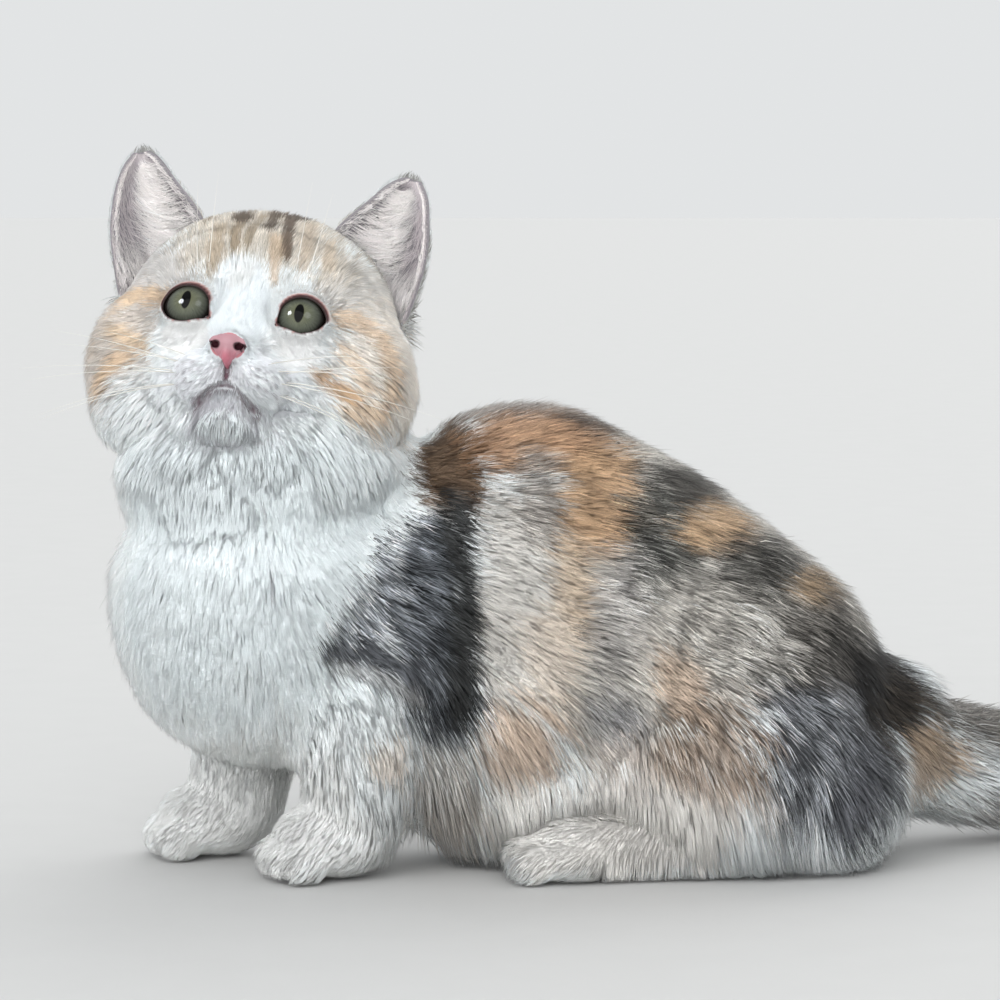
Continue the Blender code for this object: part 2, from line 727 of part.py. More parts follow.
def part_body(body, scratch, collection):
    """Parts the body into its named nodes. What is left over at the end is the abdomen."""
    def box(name, low, high, place=Matrix.Identity(4)):
        return lambda extra: region_box(name, low, high, extra, place, scratch)

    def lobe(name, centre, radii, turn=0.0):
        return lambda extra: region_lobe(name, turned(centre, turn), radii, extra, scratch)

    regions = {
        "head": lambda extra: region_lobe(
            "r", head_matrix() @ Matrix.Translation(HEAD_REGION), HEAD_REACH, extra, scratch
        ),
        "foreleg_left": lobe("r", (-0.045, -0.046, 0.056), (0.034, 0.030, 0.046)),
        "foreleg_right": lobe("r", (-0.098, 0.018, 0.056), (0.032, 0.030, 0.046)),
        "thigh_left": lobe("r", (0.082, -0.044, 0.044), (0.050, 0.034, 0.050)),
        "thigh_right": lobe("r", (0.084, 0.056, 0.044), (0.050, 0.034, 0.050)),
        "tail_tip": box("r", (0, -0.1, -0.1), (0.2, 0.1, 0.1), turned((0.262, 0.080, 0), 47)),
        "tail_middle": box("r", (0, -0.1, -0.1), (0.2, 0.1, 0.1), turned((0.206, 0.052, 0), 24)),
        "tail_base": box("r", (0, -0.1, -0.1), (0.2, 0.1, 0.1), turned((0.150, 0.020, 0.05), 25)),
        "neck": lobe("r", (-0.084, -0.012, 0.156), (0.072, 0.070, 0.036)),
        "chest": box("r", (-0.3, -0.3, -0.3), (0, 0.3, 0.3), turned((-0.012, 0, 0.08), 12)),
        "rump": box("r", (0, -0.3, -0.3), (0.3, 0.3, 0.3), turned((0.062, 0, 0.08), -8)),
    }
    nodes = [split(body, name, make, scratch, collection) for name, make in regions.items()]
    body.name = "abdomen"
    scratch.objects.unlink(body)
    collection.objects.link(body)
    return [*nodes, body]


def without_folds(obj):
    """Splits an object into triangles and drops pairs that lie back to back."""
    shape = bmesh.new()
    shape.from_mesh(obj.data)
    bmesh.ops.triangulate(shape, faces=shape.faces)
    folded = True
    while folded:
        seen = {}
        for face in shape.faces:
            seen.setdefault(frozenset(face.verts), []).append(face)
        folded = [face for faces in seen.values() if len(faces) > 1 for face in faces]
        bmesh.ops.delete(shape, geom=folded, context="FACES")
    shape.to_mesh(obj.data)
    shape.free()
    return obj


def finish_node(node):
    """Merges a node's level faces and gives it its finish, with its cut edges sharp."""
    merge = node.modifiers.new("merge_level_faces", "DECIMATE")
    merge.decimate_type = "DISSOLVE"
    merge.angle_limit = math.radians(LEVEL_ANGLE)
    without_folds(baked(node))
    name = NODE_COLOURS.get(node.name, "white_coat")
    material = bpy.data.materials.get(name) or bpy.data.materials.new(name)
    colour, roughness = COLOURS[name]
    material.use_nodes = True
    shader = material.node_tree.nodes["Principled BSDF"]
    shader.inputs["Base Color"].default_value = (*colour, 1.0)
    shader.inputs["Roughness"].default_value = roughness
    shader.inputs["Metallic"].default_value = 0.0
    node.data.materials.clear()
    node.data.materials.append(material)
    node.data.shade_smooth()
    node.data.set_sharp_from_angle(angle=math.radians(50))


def main():
    """Builds the cat."""
    clear_scene()
    scratch = new_collection("cutters")
    collection = new_collection("munchkin_cat")
    head_place = head_matrix()
    body = build_trunk(scratch)
    head = build_head(scratch)
    face = part_head(head, scratch, collection)
    for piece in (head, *face):
        piece.data.transform(head_place)
    boolean(body, head, "UNION")
    removed(head)
    add_coat(body)
    jaw = next(piece for piece in face if piece.name == "lower_jaw")
    cut_by(body, grown(jaw, GAP, scratch))
    paws = part_paws(body, scratch, collection)
    nodes = [*face, *paws, *part_body(body, scratch, collection)]
    for node in nodes:
        node.data.transform(Matrix.Translation(MID_BACK))
        finish_node(node)
    print({node.name: len(node.data.polygons) for node in nodes})


if __name__ == "__main__":
    main()
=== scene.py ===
"""A young munchkin cat, life size, dressed for its portrait.

The skin is one closed surface under the coat, with lids, lips and cupped ears.
Over it lies the coat, in thin solid tufts that follow the lie of the fur, and
the eyes, nose leather and whiskers are separate. Places are given from a
point under the mid back, in metres: x to the tail, -y to the camera, z up.
Places on the head are in the head's own frame: x ahead, y to its left, z up.
"""
import sys
import logging
import math
from dataclasses import dataclass, field
from enum import Enum

import bmesh
import bpy
import numpy as np
from mathutils import Matrix, Vector
from mathutils.bvhtree import BVHTree
from mathutils.kdtree import KDTree


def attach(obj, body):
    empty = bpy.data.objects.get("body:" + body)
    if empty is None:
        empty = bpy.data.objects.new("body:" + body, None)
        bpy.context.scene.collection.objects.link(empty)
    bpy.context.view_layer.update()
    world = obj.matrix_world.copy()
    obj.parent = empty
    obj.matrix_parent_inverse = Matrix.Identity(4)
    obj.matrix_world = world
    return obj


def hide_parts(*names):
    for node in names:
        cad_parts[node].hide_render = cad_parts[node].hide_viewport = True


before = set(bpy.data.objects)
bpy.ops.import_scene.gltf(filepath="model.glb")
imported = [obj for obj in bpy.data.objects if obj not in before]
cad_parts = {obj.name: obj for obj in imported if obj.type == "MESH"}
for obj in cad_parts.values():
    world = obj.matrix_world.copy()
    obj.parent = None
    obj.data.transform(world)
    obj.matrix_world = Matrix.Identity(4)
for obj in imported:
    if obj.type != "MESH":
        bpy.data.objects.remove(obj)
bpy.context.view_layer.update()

LOG = logging.getLogger("munchkin_cat")
MID_BACK = Vector((-0.0805, -0.0270, 0.0))
MM = 0.001
FLOOR = 0.0005
COAT_COLOUR = "coat_colour"
BAKE_MAP = "OFBake"
SEED = 6153
EYE_GROUP = "eyes_for_catchlights"


class Side(Enum):
    """The cat's own left and right."""

    LEFT = 1
    RIGHT = -1

    def mirror(self, point: tuple) -> Vector:
        """A point of the left side, moved to this side."""
        return Vector((point[0], point[1] * self.value, point[2]))


class Patch(Enum):
    """The pieces that the coat is made in."""

    FACE = "coat_face"
    HEAD = "coat_head"
    EARS = "coat_ears"
    BIB = "coat_bib"
    SADDLE = "coat_saddle"
    NEAR_FLANK = "coat_near_flank"
    FAR_FLANK = "coat_far_flank"
    HAUNCHES = "coat_haunches"
    LEGS = "coat_legs"
    TAIL = "coat_tail"


def linear(hex_colour: str) -> np.ndarray:
    """Turns an sRGB hex colour into linear light.

    Args:
        hex_colour: six hex digits.

    Returns:
        Red, green and blue from 0 to 1.
    """
    value = np.array([int(hex_colour[i : i + 2], 16) / 255 for i in (0, 2, 4)])
    return np.where(value <= 0.04045, value / 12.92, ((value + 0.055) / 1.055) ** 2.4)


def lattice_noise(points: np.ndarray, pitch: float, seed: int) -> np.ndarray:
    """Smooth random values in space.

    Args:
        points: places, one row each.
        pitch: the size of the noise's features, in metres.
        seed: a whole number that picks the noise.

    Returns:
        One value from -1 to 1 for each place.
    """
    cell = points / pitch + seed * 7.31
    base = np.floor(cell).astype(np.int64)
    part = cell - base
    part = part * part * (3 - 2 * part)
    total = np.zeros(len(points))
    for corner in range(8):
        step = np.array([(corner >> axis) & 1 for axis in range(3)])
        key = base + step
        mixed = key[:, 0] * 73856093 ^ key[:, 1] * 19349663 ^ key[:, 2] * 83492791 ^ seed * 2654435761
        mixed = (mixed ^ (mixed >> 13)) * 1274126177 & 0xFFFFFFFF
        mixed = (mixed ^ (mixed >> 16)) & 0xFFFF
        total += (mixed / 32767.5 - 1) * np.prod(np.where(step == 1, part, 1 - part), axis=1)
    return total


def unit(vectors: np.ndarray) -> np.ndarray:
    """Rows scaled to a length of one."""
    return vectors / np.maximum(np.linalg.norm(vectors, axis=-1, keepdims=True), 1e-9)


def smooth_step(value: np.ndarray, start: float, end: float) -> np.ndarray:
    """A soft step from 0 at start to 1 at end."""
    share = np.clip((value - start) / (end - start), 0, 1)
    return share * share * (3 - 2 * share)


def smooth_path(points: list, steps: int) -> list:
    """Points on a smooth curve through given ones.

    Args:
        points: vectors of any size, in order.
        steps: how many new points each stretch gets.

    Returns:
        The curve's points, both ends among them.
    """
    padded = [2 * points[0] - points[1], *points, 2 * points[-1] - points[-2]]
    found = []
    for a, b, c, d in zip(padded, padded[1:], padded[2:], padded[3:]):
        for k in range(steps):
            t = k / steps
            cubic = (3 * b - a - 3 * c + d) * t * t * t
            found.append(0.5 * (2 * b + (c - a) * t + (2 * a - 5 * b + 4 * c - d) * t * t + cubic))
    found.append(points[-1].copy())
    return found


def turned(place: tuple, turn: float = 0.0, axis: str = "Z") -> Matrix:
    """A matrix that sets something at a place, turned in degrees about an axis."""
    return Matrix.Translation(Vector(place)) @ Matrix.Rotation(math.radians(turn), 4, axis)


def add_ellipsoid(shape: bmesh.types.BMesh, place: Matrix, radii: tuple, segments: int = 24) -> None:
    """Adds an ellipsoid to a bmesh.

    Args:
        shape: the bmesh that grows.
        place: the ellipsoid's place and turn.
        radii: its three radii.
        segments: how many sides it has.
    """
    size = Matrix.Diagonal((*radii, 1.0))
    bmesh.ops.create_uvsphere(
        shape, u_segments=segments, v_segments=segments // 2, radius=1.0, matrix=place @ size
    )


def add_limb(shape: bmesh.types.BMesh, points: tuple, radii: tuple, steps: int = 5) -> None:
    """Adds a row of overlapping spheres along a smooth path.

    Args:
        shape: the bmesh that grows.
        points: the path's points.
        radii: the radius at each point.
        steps: spheres to each stretch.
    """
    stations = [Vector((*point, radius)) for point, radius in zip(points, radii)]
    for station in smooth_path(stations, steps):
        add_ellipsoid(shape, Matrix.Translation(station[:3]), (station[3],) * 3, 16)


def new_piece(name: str, shape: bmesh.types.BMesh) -> bpy.types.Object:
    """An object in the scene from a bmesh, which is freed."""
    mesh = bpy.data.meshes.new(name)
    shape.to_mesh(mesh)
    shape.free()
    piece = bpy.data.objects.new(name, mesh)
    bpy.context.scene.collection.objects.link(piece)
    return piece


def baked_mesh(piece: bpy.types.Object) -> bpy.types.Mesh:
    """A new mesh of the piece as its curve or modifiers shape it."""
    bpy.context.view_layer.update()
    graph = bpy.context.evaluated_depsgraph_get()
    return bpy.data.meshes.new_from_object(piece.evaluated_get(graph))


def baked(piece: bpy.types.Object) -> bpy.types.Object:
    """The piece with its modifiers applied to its mesh."""
    mesh = baked_mesh(piece)
    piece.modifiers.clear()
    piece.data = mesh
    return piece


def fused(name: str, shape: bmesh.types.BMesh, voxel: float, smoothing: int) -> bpy.types.Object:
    """One smooth closed surface from overlapping lobes.

    Args:
        name: the new piece's name.
        shape: the bmesh of lobes.
        voxel: how finely the surface is meshed, in metres.
        smoothing: rounds of smoothing.

    Returns:
        The piece.
    """
    piece = new_piece(name, shape)
    remesh = piece.modifiers.new("fuse", "REMESH")
    remesh.mode = "VOXEL"
    remesh.voxel_size = voxel
    if smoothing:
        smooth = piece.modifiers.new("smooth", "SMOOTH")
        smooth.factor = 0.5
        smooth.iterations = smoothing
    return baked(piece)


def tubes(name: str, runs: list, closed: bool, matrix: Matrix) -> bpy.types.Object:
    """Thin round tubes along paths, as one piece.

    Args:
        name: the piece's name.
        runs: for each tube its points, and its radius at each of them.
        closed: whether the tubes are rings.
        matrix: the frame that the points are in.

    Returns:
        The piece.
    """
    curve = bpy.data.curves.new(name, "CURVE")
    curve.dimensions, curve.use_fill_caps = "3D", True
    curve.bevel_depth, curve.bevel_resolution = 1.0, 2
    for points, radii in runs:
        spline = curve.splines.new("POLY")
        spline.use_cyclic_u = closed
        spline.points.add(len(points) - 1)
        for knot, place, radius in zip(spline.points, points, radii):
            knot.co, knot.radius = (*place, 1.0), radius
    path = bpy.data.objects.new("path", curve)
    bpy.context.scene.collection.objects.link(path)
    shape = bmesh.new()
    shape.from_mesh(baked_mesh(path))
    bpy.data.objects.remove(path)
    bmesh.ops.remove_doubles(shape, verts=shape.verts, dist=0.000001)
    bmesh.ops.recalc_face_normals(shape, faces=shape.faces)
    bmesh.ops.transform(shape, matrix=matrix, verts=shape.verts)
    return new_piece(name, shape)


def combined(piece: bpy.types.Object, other: bpy.types.Object, operation: str) -> None:
    """Joins another closed piece to this one or cuts it away, and removes the other.

    Args:
        piece: the piece that changes.
        other: the piece that is joined or cuts.
        operation: UNION, DIFFERENCE or INTERSECT.
    """
    before = piece.data.copy()
    for solver in ("MANIFOLD", "EXACT"):
        change = piece.modifiers.new("combine", "BOOLEAN")
        change.operation = operation
        change.solver = solver
        change.object = other
        baked(piece)
        if len(piece.data.vertices) > (4 if operation == "INTERSECT" else 0.85 * len(before.vertices)):
            break
        LOG.warning("%s: %s by %s failed", piece.name, operation, solver)
        piece.data = before.copy()
    bpy.data.objects.remove(other)


def coordinates(mesh: bpy.types.Mesh) -> np.ndarray:
    """A mesh's vertices, one row each."""
    found = np.empty(len(mesh.vertices) * 3, np.float32)
    mesh.vertices.foreach_get("co", found)
    return found.reshape(-1, 3).astype(float)


def vertex_normals(mesh: bpy.types.Mesh) -> np.ndarray:
    """A mesh's vertex normals, one row each."""
    found = np.empty(len(mesh.vertices) * 3, np.float32)
    mesh.vertex_normals.foreach_get("vector", found)
    return found.reshape(-1, 3).astype(float)


def set_coordinates(mesh: bpy.types.Mesh, places: np.ndarray) -> None:
    """Moves a mesh's vertices to new places."""
    mesh.vertices.foreach_set("co", places.astype(np.float32).ravel())
    mesh.update()


def paint(mesh: bpy.types.Mesh, colours: np.ndarray) -> None:
    """Stores a linear colour on each vertex of a mesh."""
    layer = mesh.color_attributes.new(COAT_COLOUR, "FLOAT_COLOR", "POINT")
    rgba = np.ones((len(colours), 4), np.float32)
    rgba[:, :3] = colours
    layer.data.foreach_set("color", rgba.ravel())


def finished(piece: bpy.types.Object, material: bpy.types.Material, slot: str, *nodes: str) -> None:
    """Dresses a piece, sets it on the root and hides the solids that it stands for.

    Args:
        piece: the piece.
        material: its finish.
        slot: not used.
        nodes: the solids that it stands for.
    """
    piece.data.materials.clear()
    piece.data.materials.append(material)
    piece.data.shade_smooth()
    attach(piece, "root")
    if nodes:
        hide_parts(*nodes)
    LOG.info("%s: %d faces", piece.name, len(piece.data.polygons))


def add_node(tree: bpy.types.NodeTree, kind: str, settings: dict, inputs: dict) -> bpy.types.Node:
    """Adds a shader node.

    Args:
        tree: the material's nodes.
        kind: the node's type.
        settings: its properties by name.
        inputs: a constant, or the output that is linked in, for each socket.

    Returns:
        The node.
    """
    node = tree.nodes.new(kind)
    for name, value in settings.items():
        setattr(node, name, value)
    for name, value in inputs.items():
        if isinstance(value, bpy.types.NodeSocket):
            tree.links.new(value, node.inputs[name])
        else:
            node.inputs[name].default_value = value
    return node


def new_material(name: str) -> tuple:
    """A material, its node tree and its principled shader."""
    material = bpy.data.materials.new(name)
    material.use_nodes = True
    return material, material.node_tree, material.node_tree.nodes["Principled BSDF"]


@dataclass(frozen=True)
class Lobe:
    """An ellipsoid of flesh and coat: its place, radii, and turn about z."""

    place: tuple
    radii: tuple
    turn: float = 0.0


@dataclass(frozen=True)
class Guide:
    """How the coat grows near a place."""

    place: tuple
    lie: tuple
    length: float
    depth: float
    width: float
    patch: Patch
    reach: float = 22.0


@dataclass(frozen=True)
class Marking:
    """A patch of colour on the coat: an ellipsoid whose edge is broken along the fur."""

    place: tuple
    radii: tuple
    colour: str
    edge: float = 0.25
    turn: float = 0.0
    strength: float = 1.0
    ticking: float = 0.1


@dataclass(frozen=True)
class Stripe:
    """A band of colour along a path on the coat."""

    path: tuple
    radius: float
    colour: str
    strength: float = 0.8
    edge: float = 0.7
    ticking: float = 0.2
    depth: float = 1.0

    def distance(self, points: np.ndarray) -> np.ndarray:
        """How far each point is from the path, as a share of the band's half width."""
        nearest = np.full(len(points), 1.0)
        count = np.array((1.0, self.depth, 1.0))
        points = points * count
        for start, end in zip(self.path, self.path[1:]):
            a, b = np.array(start) * count, np.array(end) * count
            along = np.clip((points - a) @ (b - a) / ((b - a) @ (b - a)), 0, 1)
            nearest = np.minimum(nearest, np.linalg.norm(points - a - along[:, None] * (b - a), axis=1))
        return nearest / self.radius


@dataclass
class HeadSpace:
    """Where the head's own frame lies."""

    place: Vector = field(default_factory=lambda: Vector((-0.0860, -0.0178, 0.1808)))
    yaw: float = 4.0
    pitch: float = 22.5
    roll: float = 6.2

    def matrix(self) -> Matrix:
        """The head's frame, as a matrix from it to the model's."""
        yaw, pitch, roll = (math.radians(a) for a in (self.yaw, self.pitch, self.roll))
        ahead = Vector((-math.sin(yaw), -math.cos(yaw), 0.0))
        side = Vector((math.cos(yaw), -math.sin(yaw), 0.0))
        forward = math.cos(pitch) * ahead + Vector((0, 0, math.sin(pitch)))
        up = -math.sin(pitch) * ahead + Vector((0, 0, math.cos(pitch)))
        left = math.cos(roll) * side - math.sin(roll) * up
        up = math.sin(roll) * side + math.cos(roll) * up
        axes = Matrix((forward, left, up)).transposed().to_4x4()
        return Matrix.Translation(MID_BACK + self.place) @ axes

    def inwards(self, points: np.ndarray) -> np.ndarray:
        """Points of the model, in the head's frame."""
        matrix = np.array(self.matrix().inverted())
        return points @ matrix[:3, :3].T + matrix[:3, 3]

    def outwards(self, vectors: np.ndarray) -> np.ndarray:
        """Directions of the head's frame, in the model's."""
        return vectors @ np.array(self.matrix())[:3, :3].T


@dataclass
class Eyes:
    """The eyes and their lids, in the head's frame."""

    place: tuple = (0.0208, 0.0188, 0.0045)
    radius: float = 0.0110
    lid: float = 0.0012
    opening: tuple = (0.0085, 0.0070)
    corner: float = 0.0013
    corner_turn: float = -26.0
    splay: float = 12.0
    lift: float = 6.0
    gaze: dict = field(default_factory=lambda: {Side.LEFT: (2.0, 5.0), Side.RIGHT: (7.0, 8.5)})
    narrow: dict = field(default_factory=lambda: {Side.LEFT: 0.0010, Side.RIGHT: 0.0})

    def matrix(self, side: Side) -> Matrix:
        """The opening's frame in the head's: x looks out of it."""
        look = Matrix.Rotation(math.radians(self.splay * side.value), 4, "Z")
        lift = Matrix.Rotation(math.radians(-self.lift), 4, "Y")
        return Matrix.Translation(side.mirror(self.place)) @ look @ lift

    def outline(self, angle: np.ndarray, side: Side) -> np.ndarray:
        """How far the lids' edge is from the opening's middle.

        Args:
            angle: turns round the opening in radians, from the outer corner upwards.
            side: which eye.

        Returns:
            The distances, in metres.
        """
        wide, high = self.opening
        base = 1 / np.sqrt((np.cos(angle) / wide) ** 2 + (np.sin(angle) / high) ** 2)
        corner = math.pi - math.radians(self.corner_turn)
        off = np.abs((angle - corner + math.pi) % (2 * math.pi) - math.pi)
        outer = np.abs((angle + math.pi) % (2 * math.pi) - math.pi)
        base = base + self.corner * np.exp(-((off / 0.27) ** 2)) + 0.0004 * np.exp(-((outer / 0.3) ** 2))
        return base - self.narrow[side] * np.clip(np.cos(angle), 0, 1) ** 0.7

    def lid_distance(self, points: np.ndarray, side: Side) -> tuple:
        """How far points are from the lids' edge, seen into the eye.

        Args:
            points: places in the head's frame.
            side: which eye.

        Returns:
            The distances in metres, positive outside the opening; the turn round it; and
            which points lie in front of the eye's middle.
        """
        matrix = np.array(self.matrix(side).inverted())
        local = points @ matrix[:3, :3].T + matrix[:3, 3]
        angle = np.arctan2(local[:, 2], local[:, 1] * side.value)
        distance = np.hypot(local[:, 1], local[:, 2]) - self.outline(angle, side)
        return distance, angle, local[:, 0] > 0.002

    def prism(self, side: Side) -> bpy.types.Object:
        """The opening between the lids, as a solid that is cut from the head."""
        shape = bmesh.new()
        bmesh.ops.create_circle(shape, cap_ends=True, segments=96, radius=1.0)
        for vertex in shape.verts:
            angle = math.atan2(vertex.co.y, vertex.co.x)
            reach = float(self.outline(np.array([angle]), side)[0])
            vertex.co = Vector((0.004, math.cos(angle) * reach * side.value, math.sin(angle) * reach))
        grown = bmesh.ops.extrude_face_region(shape, geom=shape.faces[:])["geom"]
        moved = [item for item in grown if isinstance(item, bmesh.types.BMVert)]
        bmesh.ops.translate(shape, vec=(0.020, 0, 0), verts=moved)
        bmesh.ops.recalc_face_normals(shape, faces=shape.faces)
        bmesh.ops.transform(shape, matrix=self.matrix(side), verts=shape.verts)
        return new_piece("opening", shape)

    def margin(self, side: Side, place: Matrix) -> bpy.types.Object:
        """The dark edge of the lids, a thin rounded rim.

        Args:
            side: which eye.
            place: the head's frame.

        Returns:
            The rim.
        """
        centre = self.radius + 0.0004
        points, sizes = [], []
        for angle in np.linspace(0, 2 * math.pi, 96, endpoint=False):
            reach = float(self.outline(np.array([angle]), side)[0])
            ahead = math.sqrt(max(centre**2 - reach**2, (0.35 * centre) ** 2))
            out = reach + 0.0001
            points.append(side.mirror((ahead, math.cos(angle) * out, math.sin(angle) * out)))
            sizes.append(0.00048 + 0.00012 * max(0.0, math.sin(angle)))
        return tubes(f"lid_margin_{side.name.lower()}", [(points, sizes)], True, place @ self.matrix(side))

    def corner_flesh(self, side: Side, place: Matrix) -> bpy.types.Object:
        """The dark flesh in the inner corner of the eye."""
        shape = bmesh.new()
        turn = math.radians(self.corner_turn)
        at = Vector((0.0066, -math.cos(turn) * 0.0092, math.sin(turn) * 0.0092))
        matrix = place @ self.matrix(side) @ Matrix.Translation(side.mirror(at))
        add_ellipsoid(shape, matrix, (0.0007, 0.0014, 0.0007), 16)
        return new_piece(f"tear_corner_{side.name.lower()}", shape)

    def globe(self, side: Side, place: Matrix) -> tuple:
        """The eyeball with its bulging cornea, turned to where it looks.

        Args:
            side: which eye.
            place: the head's frame.

        Returns:
            The eyeball, and the matrix of the frame in which it looks along x.
        """
        azimuth, height = self.gaze[side]
        look = Matrix.Rotation(math.radians(azimuth * side.value), 4, "Z")
        rise = Matrix.Rotation(math.radians(-height), 4, "Y")
        matrix = place @ Matrix.Translation(side.mirror(self.place)) @ look @ rise
        shape = bmesh.new()
        bmesh.ops.create_uvsphere(shape, u_segments=64, v_segments=40, radius=self.radius)
        bmesh.ops.rotate(shape, matrix=Matrix.Rotation(math.pi / 2, 3, "Y"), verts=shape.verts)
        for vertex in shape.verts:
            off = math.acos(max(-1.0, min(1.0, vertex.co.x / self.radius)))
            vertex.co *= 1 + 0.055 * math.exp(-((off / 0.62) ** 4))
        bmesh.ops.transform(shape, matrix=matrix, verts=shape.verts)
        return new_piece(f"eye_{side.name.lower()}_ball", shape), matrix


@dataclass
class Ears:
    """The cupped ears, in the head's frame."""

    inner: tuple = (
        (0.002, 0.0190, 0.034),
        (0.002, 0.0240, 0.0480),
        (-0.001, 0.0340, 0.0605),
        (-0.004, 0.0425, 0.0702),
        (-0.006, 0.0480, 0.0736),
    )
    outer: tuple = (
        (-0.010, 0.0480, 0.008),
        (-0.009, 0.0540, 0.0280),
        (-0.008, 0.0575, 0.0460),
        (-0.007, 0.0562, 0.0640),
        (-0.006, 0.0520, 0.0728),
    )
    cup: float = 0.016
    wall: float = 0.0017
    lean: dict = field(default_factory=lambda: {Side.LEFT: -0.0040, Side.RIGHT: 0.0025})

    def surface(self, side: Side, share: float, rise: float) -> Vector:
        """A point on the ear's sheet.

        Args:
            side: which ear.
            share: from 0 at the edge nearer the crown to 1 at the outer edge.
            rise: from 0 at the root to 1 at the tip.

        Returns:
            The point, in the head's frame.
        """
        inner = smooth_path([Vector(p) for p in self.inner], 8)
        outer = smooth_path([Vector(p) for p in self.outer], 8)
        place = rise * (len(inner) - 1)
        k = min(int(place), len(inner) - 2)
        low = inner[k].lerp(inner[k + 1], place - k)
        high = outer[k].lerp(outer[k + 1], place - k)
        point = low.lerp(high, share)
        point.x -= self.cup * 4 * share * (1 - share) * (1 - rise) ** 0.7
        point.y += self.lean[side] * min(1.0, 0.2 + 1.2 * rise)
        return side.mirror(point)

    def facing(self, side: Side, share: float, rise: float) -> Vector:
        """Which way the hollow of the ear faces at a point of its sheet."""
        low, left = min(rise, 0.97), min(share, 0.97)
        across = self.surface(side, left + 0.03, low) - self.surface(side, left, low)
        along = self.surface(side, left, low + 0.03) - self.surface(side, left, low)
        normal = across.cross(along).normalized()
        return normal if normal.x > 0 else -normal

    def shell(self, side: Side) -> bpy.types.Object:
        """The ear as a closed shell with a rounded rim."""
        columns, rows = 18, 26
        shape = bmesh.new()
        bmesh.ops.create_grid(shape, x_segments=columns, y_segments=rows, size=1.0)
        for vertex in shape.verts:
            vertex.co = self.surface(side, (vertex.co.x + 1) / 2, (vertex.co.y + 1) / 2 * 0.985)
        bmesh.ops.recalc_face_normals(shape, faces=shape.faces)
        ear = new_piece("ear_shell", shape)
        wall = ear.modifiers.new("wall", "SOLIDIFY")
        wall.thickness = self.wall
        wall.offset = 0.0
        round_off = ear.modifiers.new("round", "SUBSURF")
        round_off.levels = round_off.render_levels = 1
        return baked(ear)

    def inside(self, points: np.ndarray, normals: np.ndarray) -> np.ndarray:
        """Which points of the skin are in the hollow of an ear, in the head's frame."""
        side = np.abs(points[:, 1])
        high = points[:, 2] > 0.030 - 0.45 * np.clip(side - 0.030, 0, 1)
        return high & (side > 0.018) & (points[:, 0] < 0.006) & (normals[:, 0] > 0.12) & self.near(points)

    def near(self, points: np.ndarray) -> np.ndarray:
        """Which points lie close to the ears' sheets, in the head's frame."""
        tree = KDTree(2 * 13 * 13)
        count = 0
        for side in Side:
            for i in range(13):
                for j in range(13):
                    tree.insert(self.surface(side, i / 12, j / 12), count)
                    count += 1
        tree.balance()
        found = np.zeros(len(points), bool)
        for k in np.flatnonzero(points[:, 2] > 0.0):
            found[k] = tree.find(points[k])[2] < 0.0042
        return found


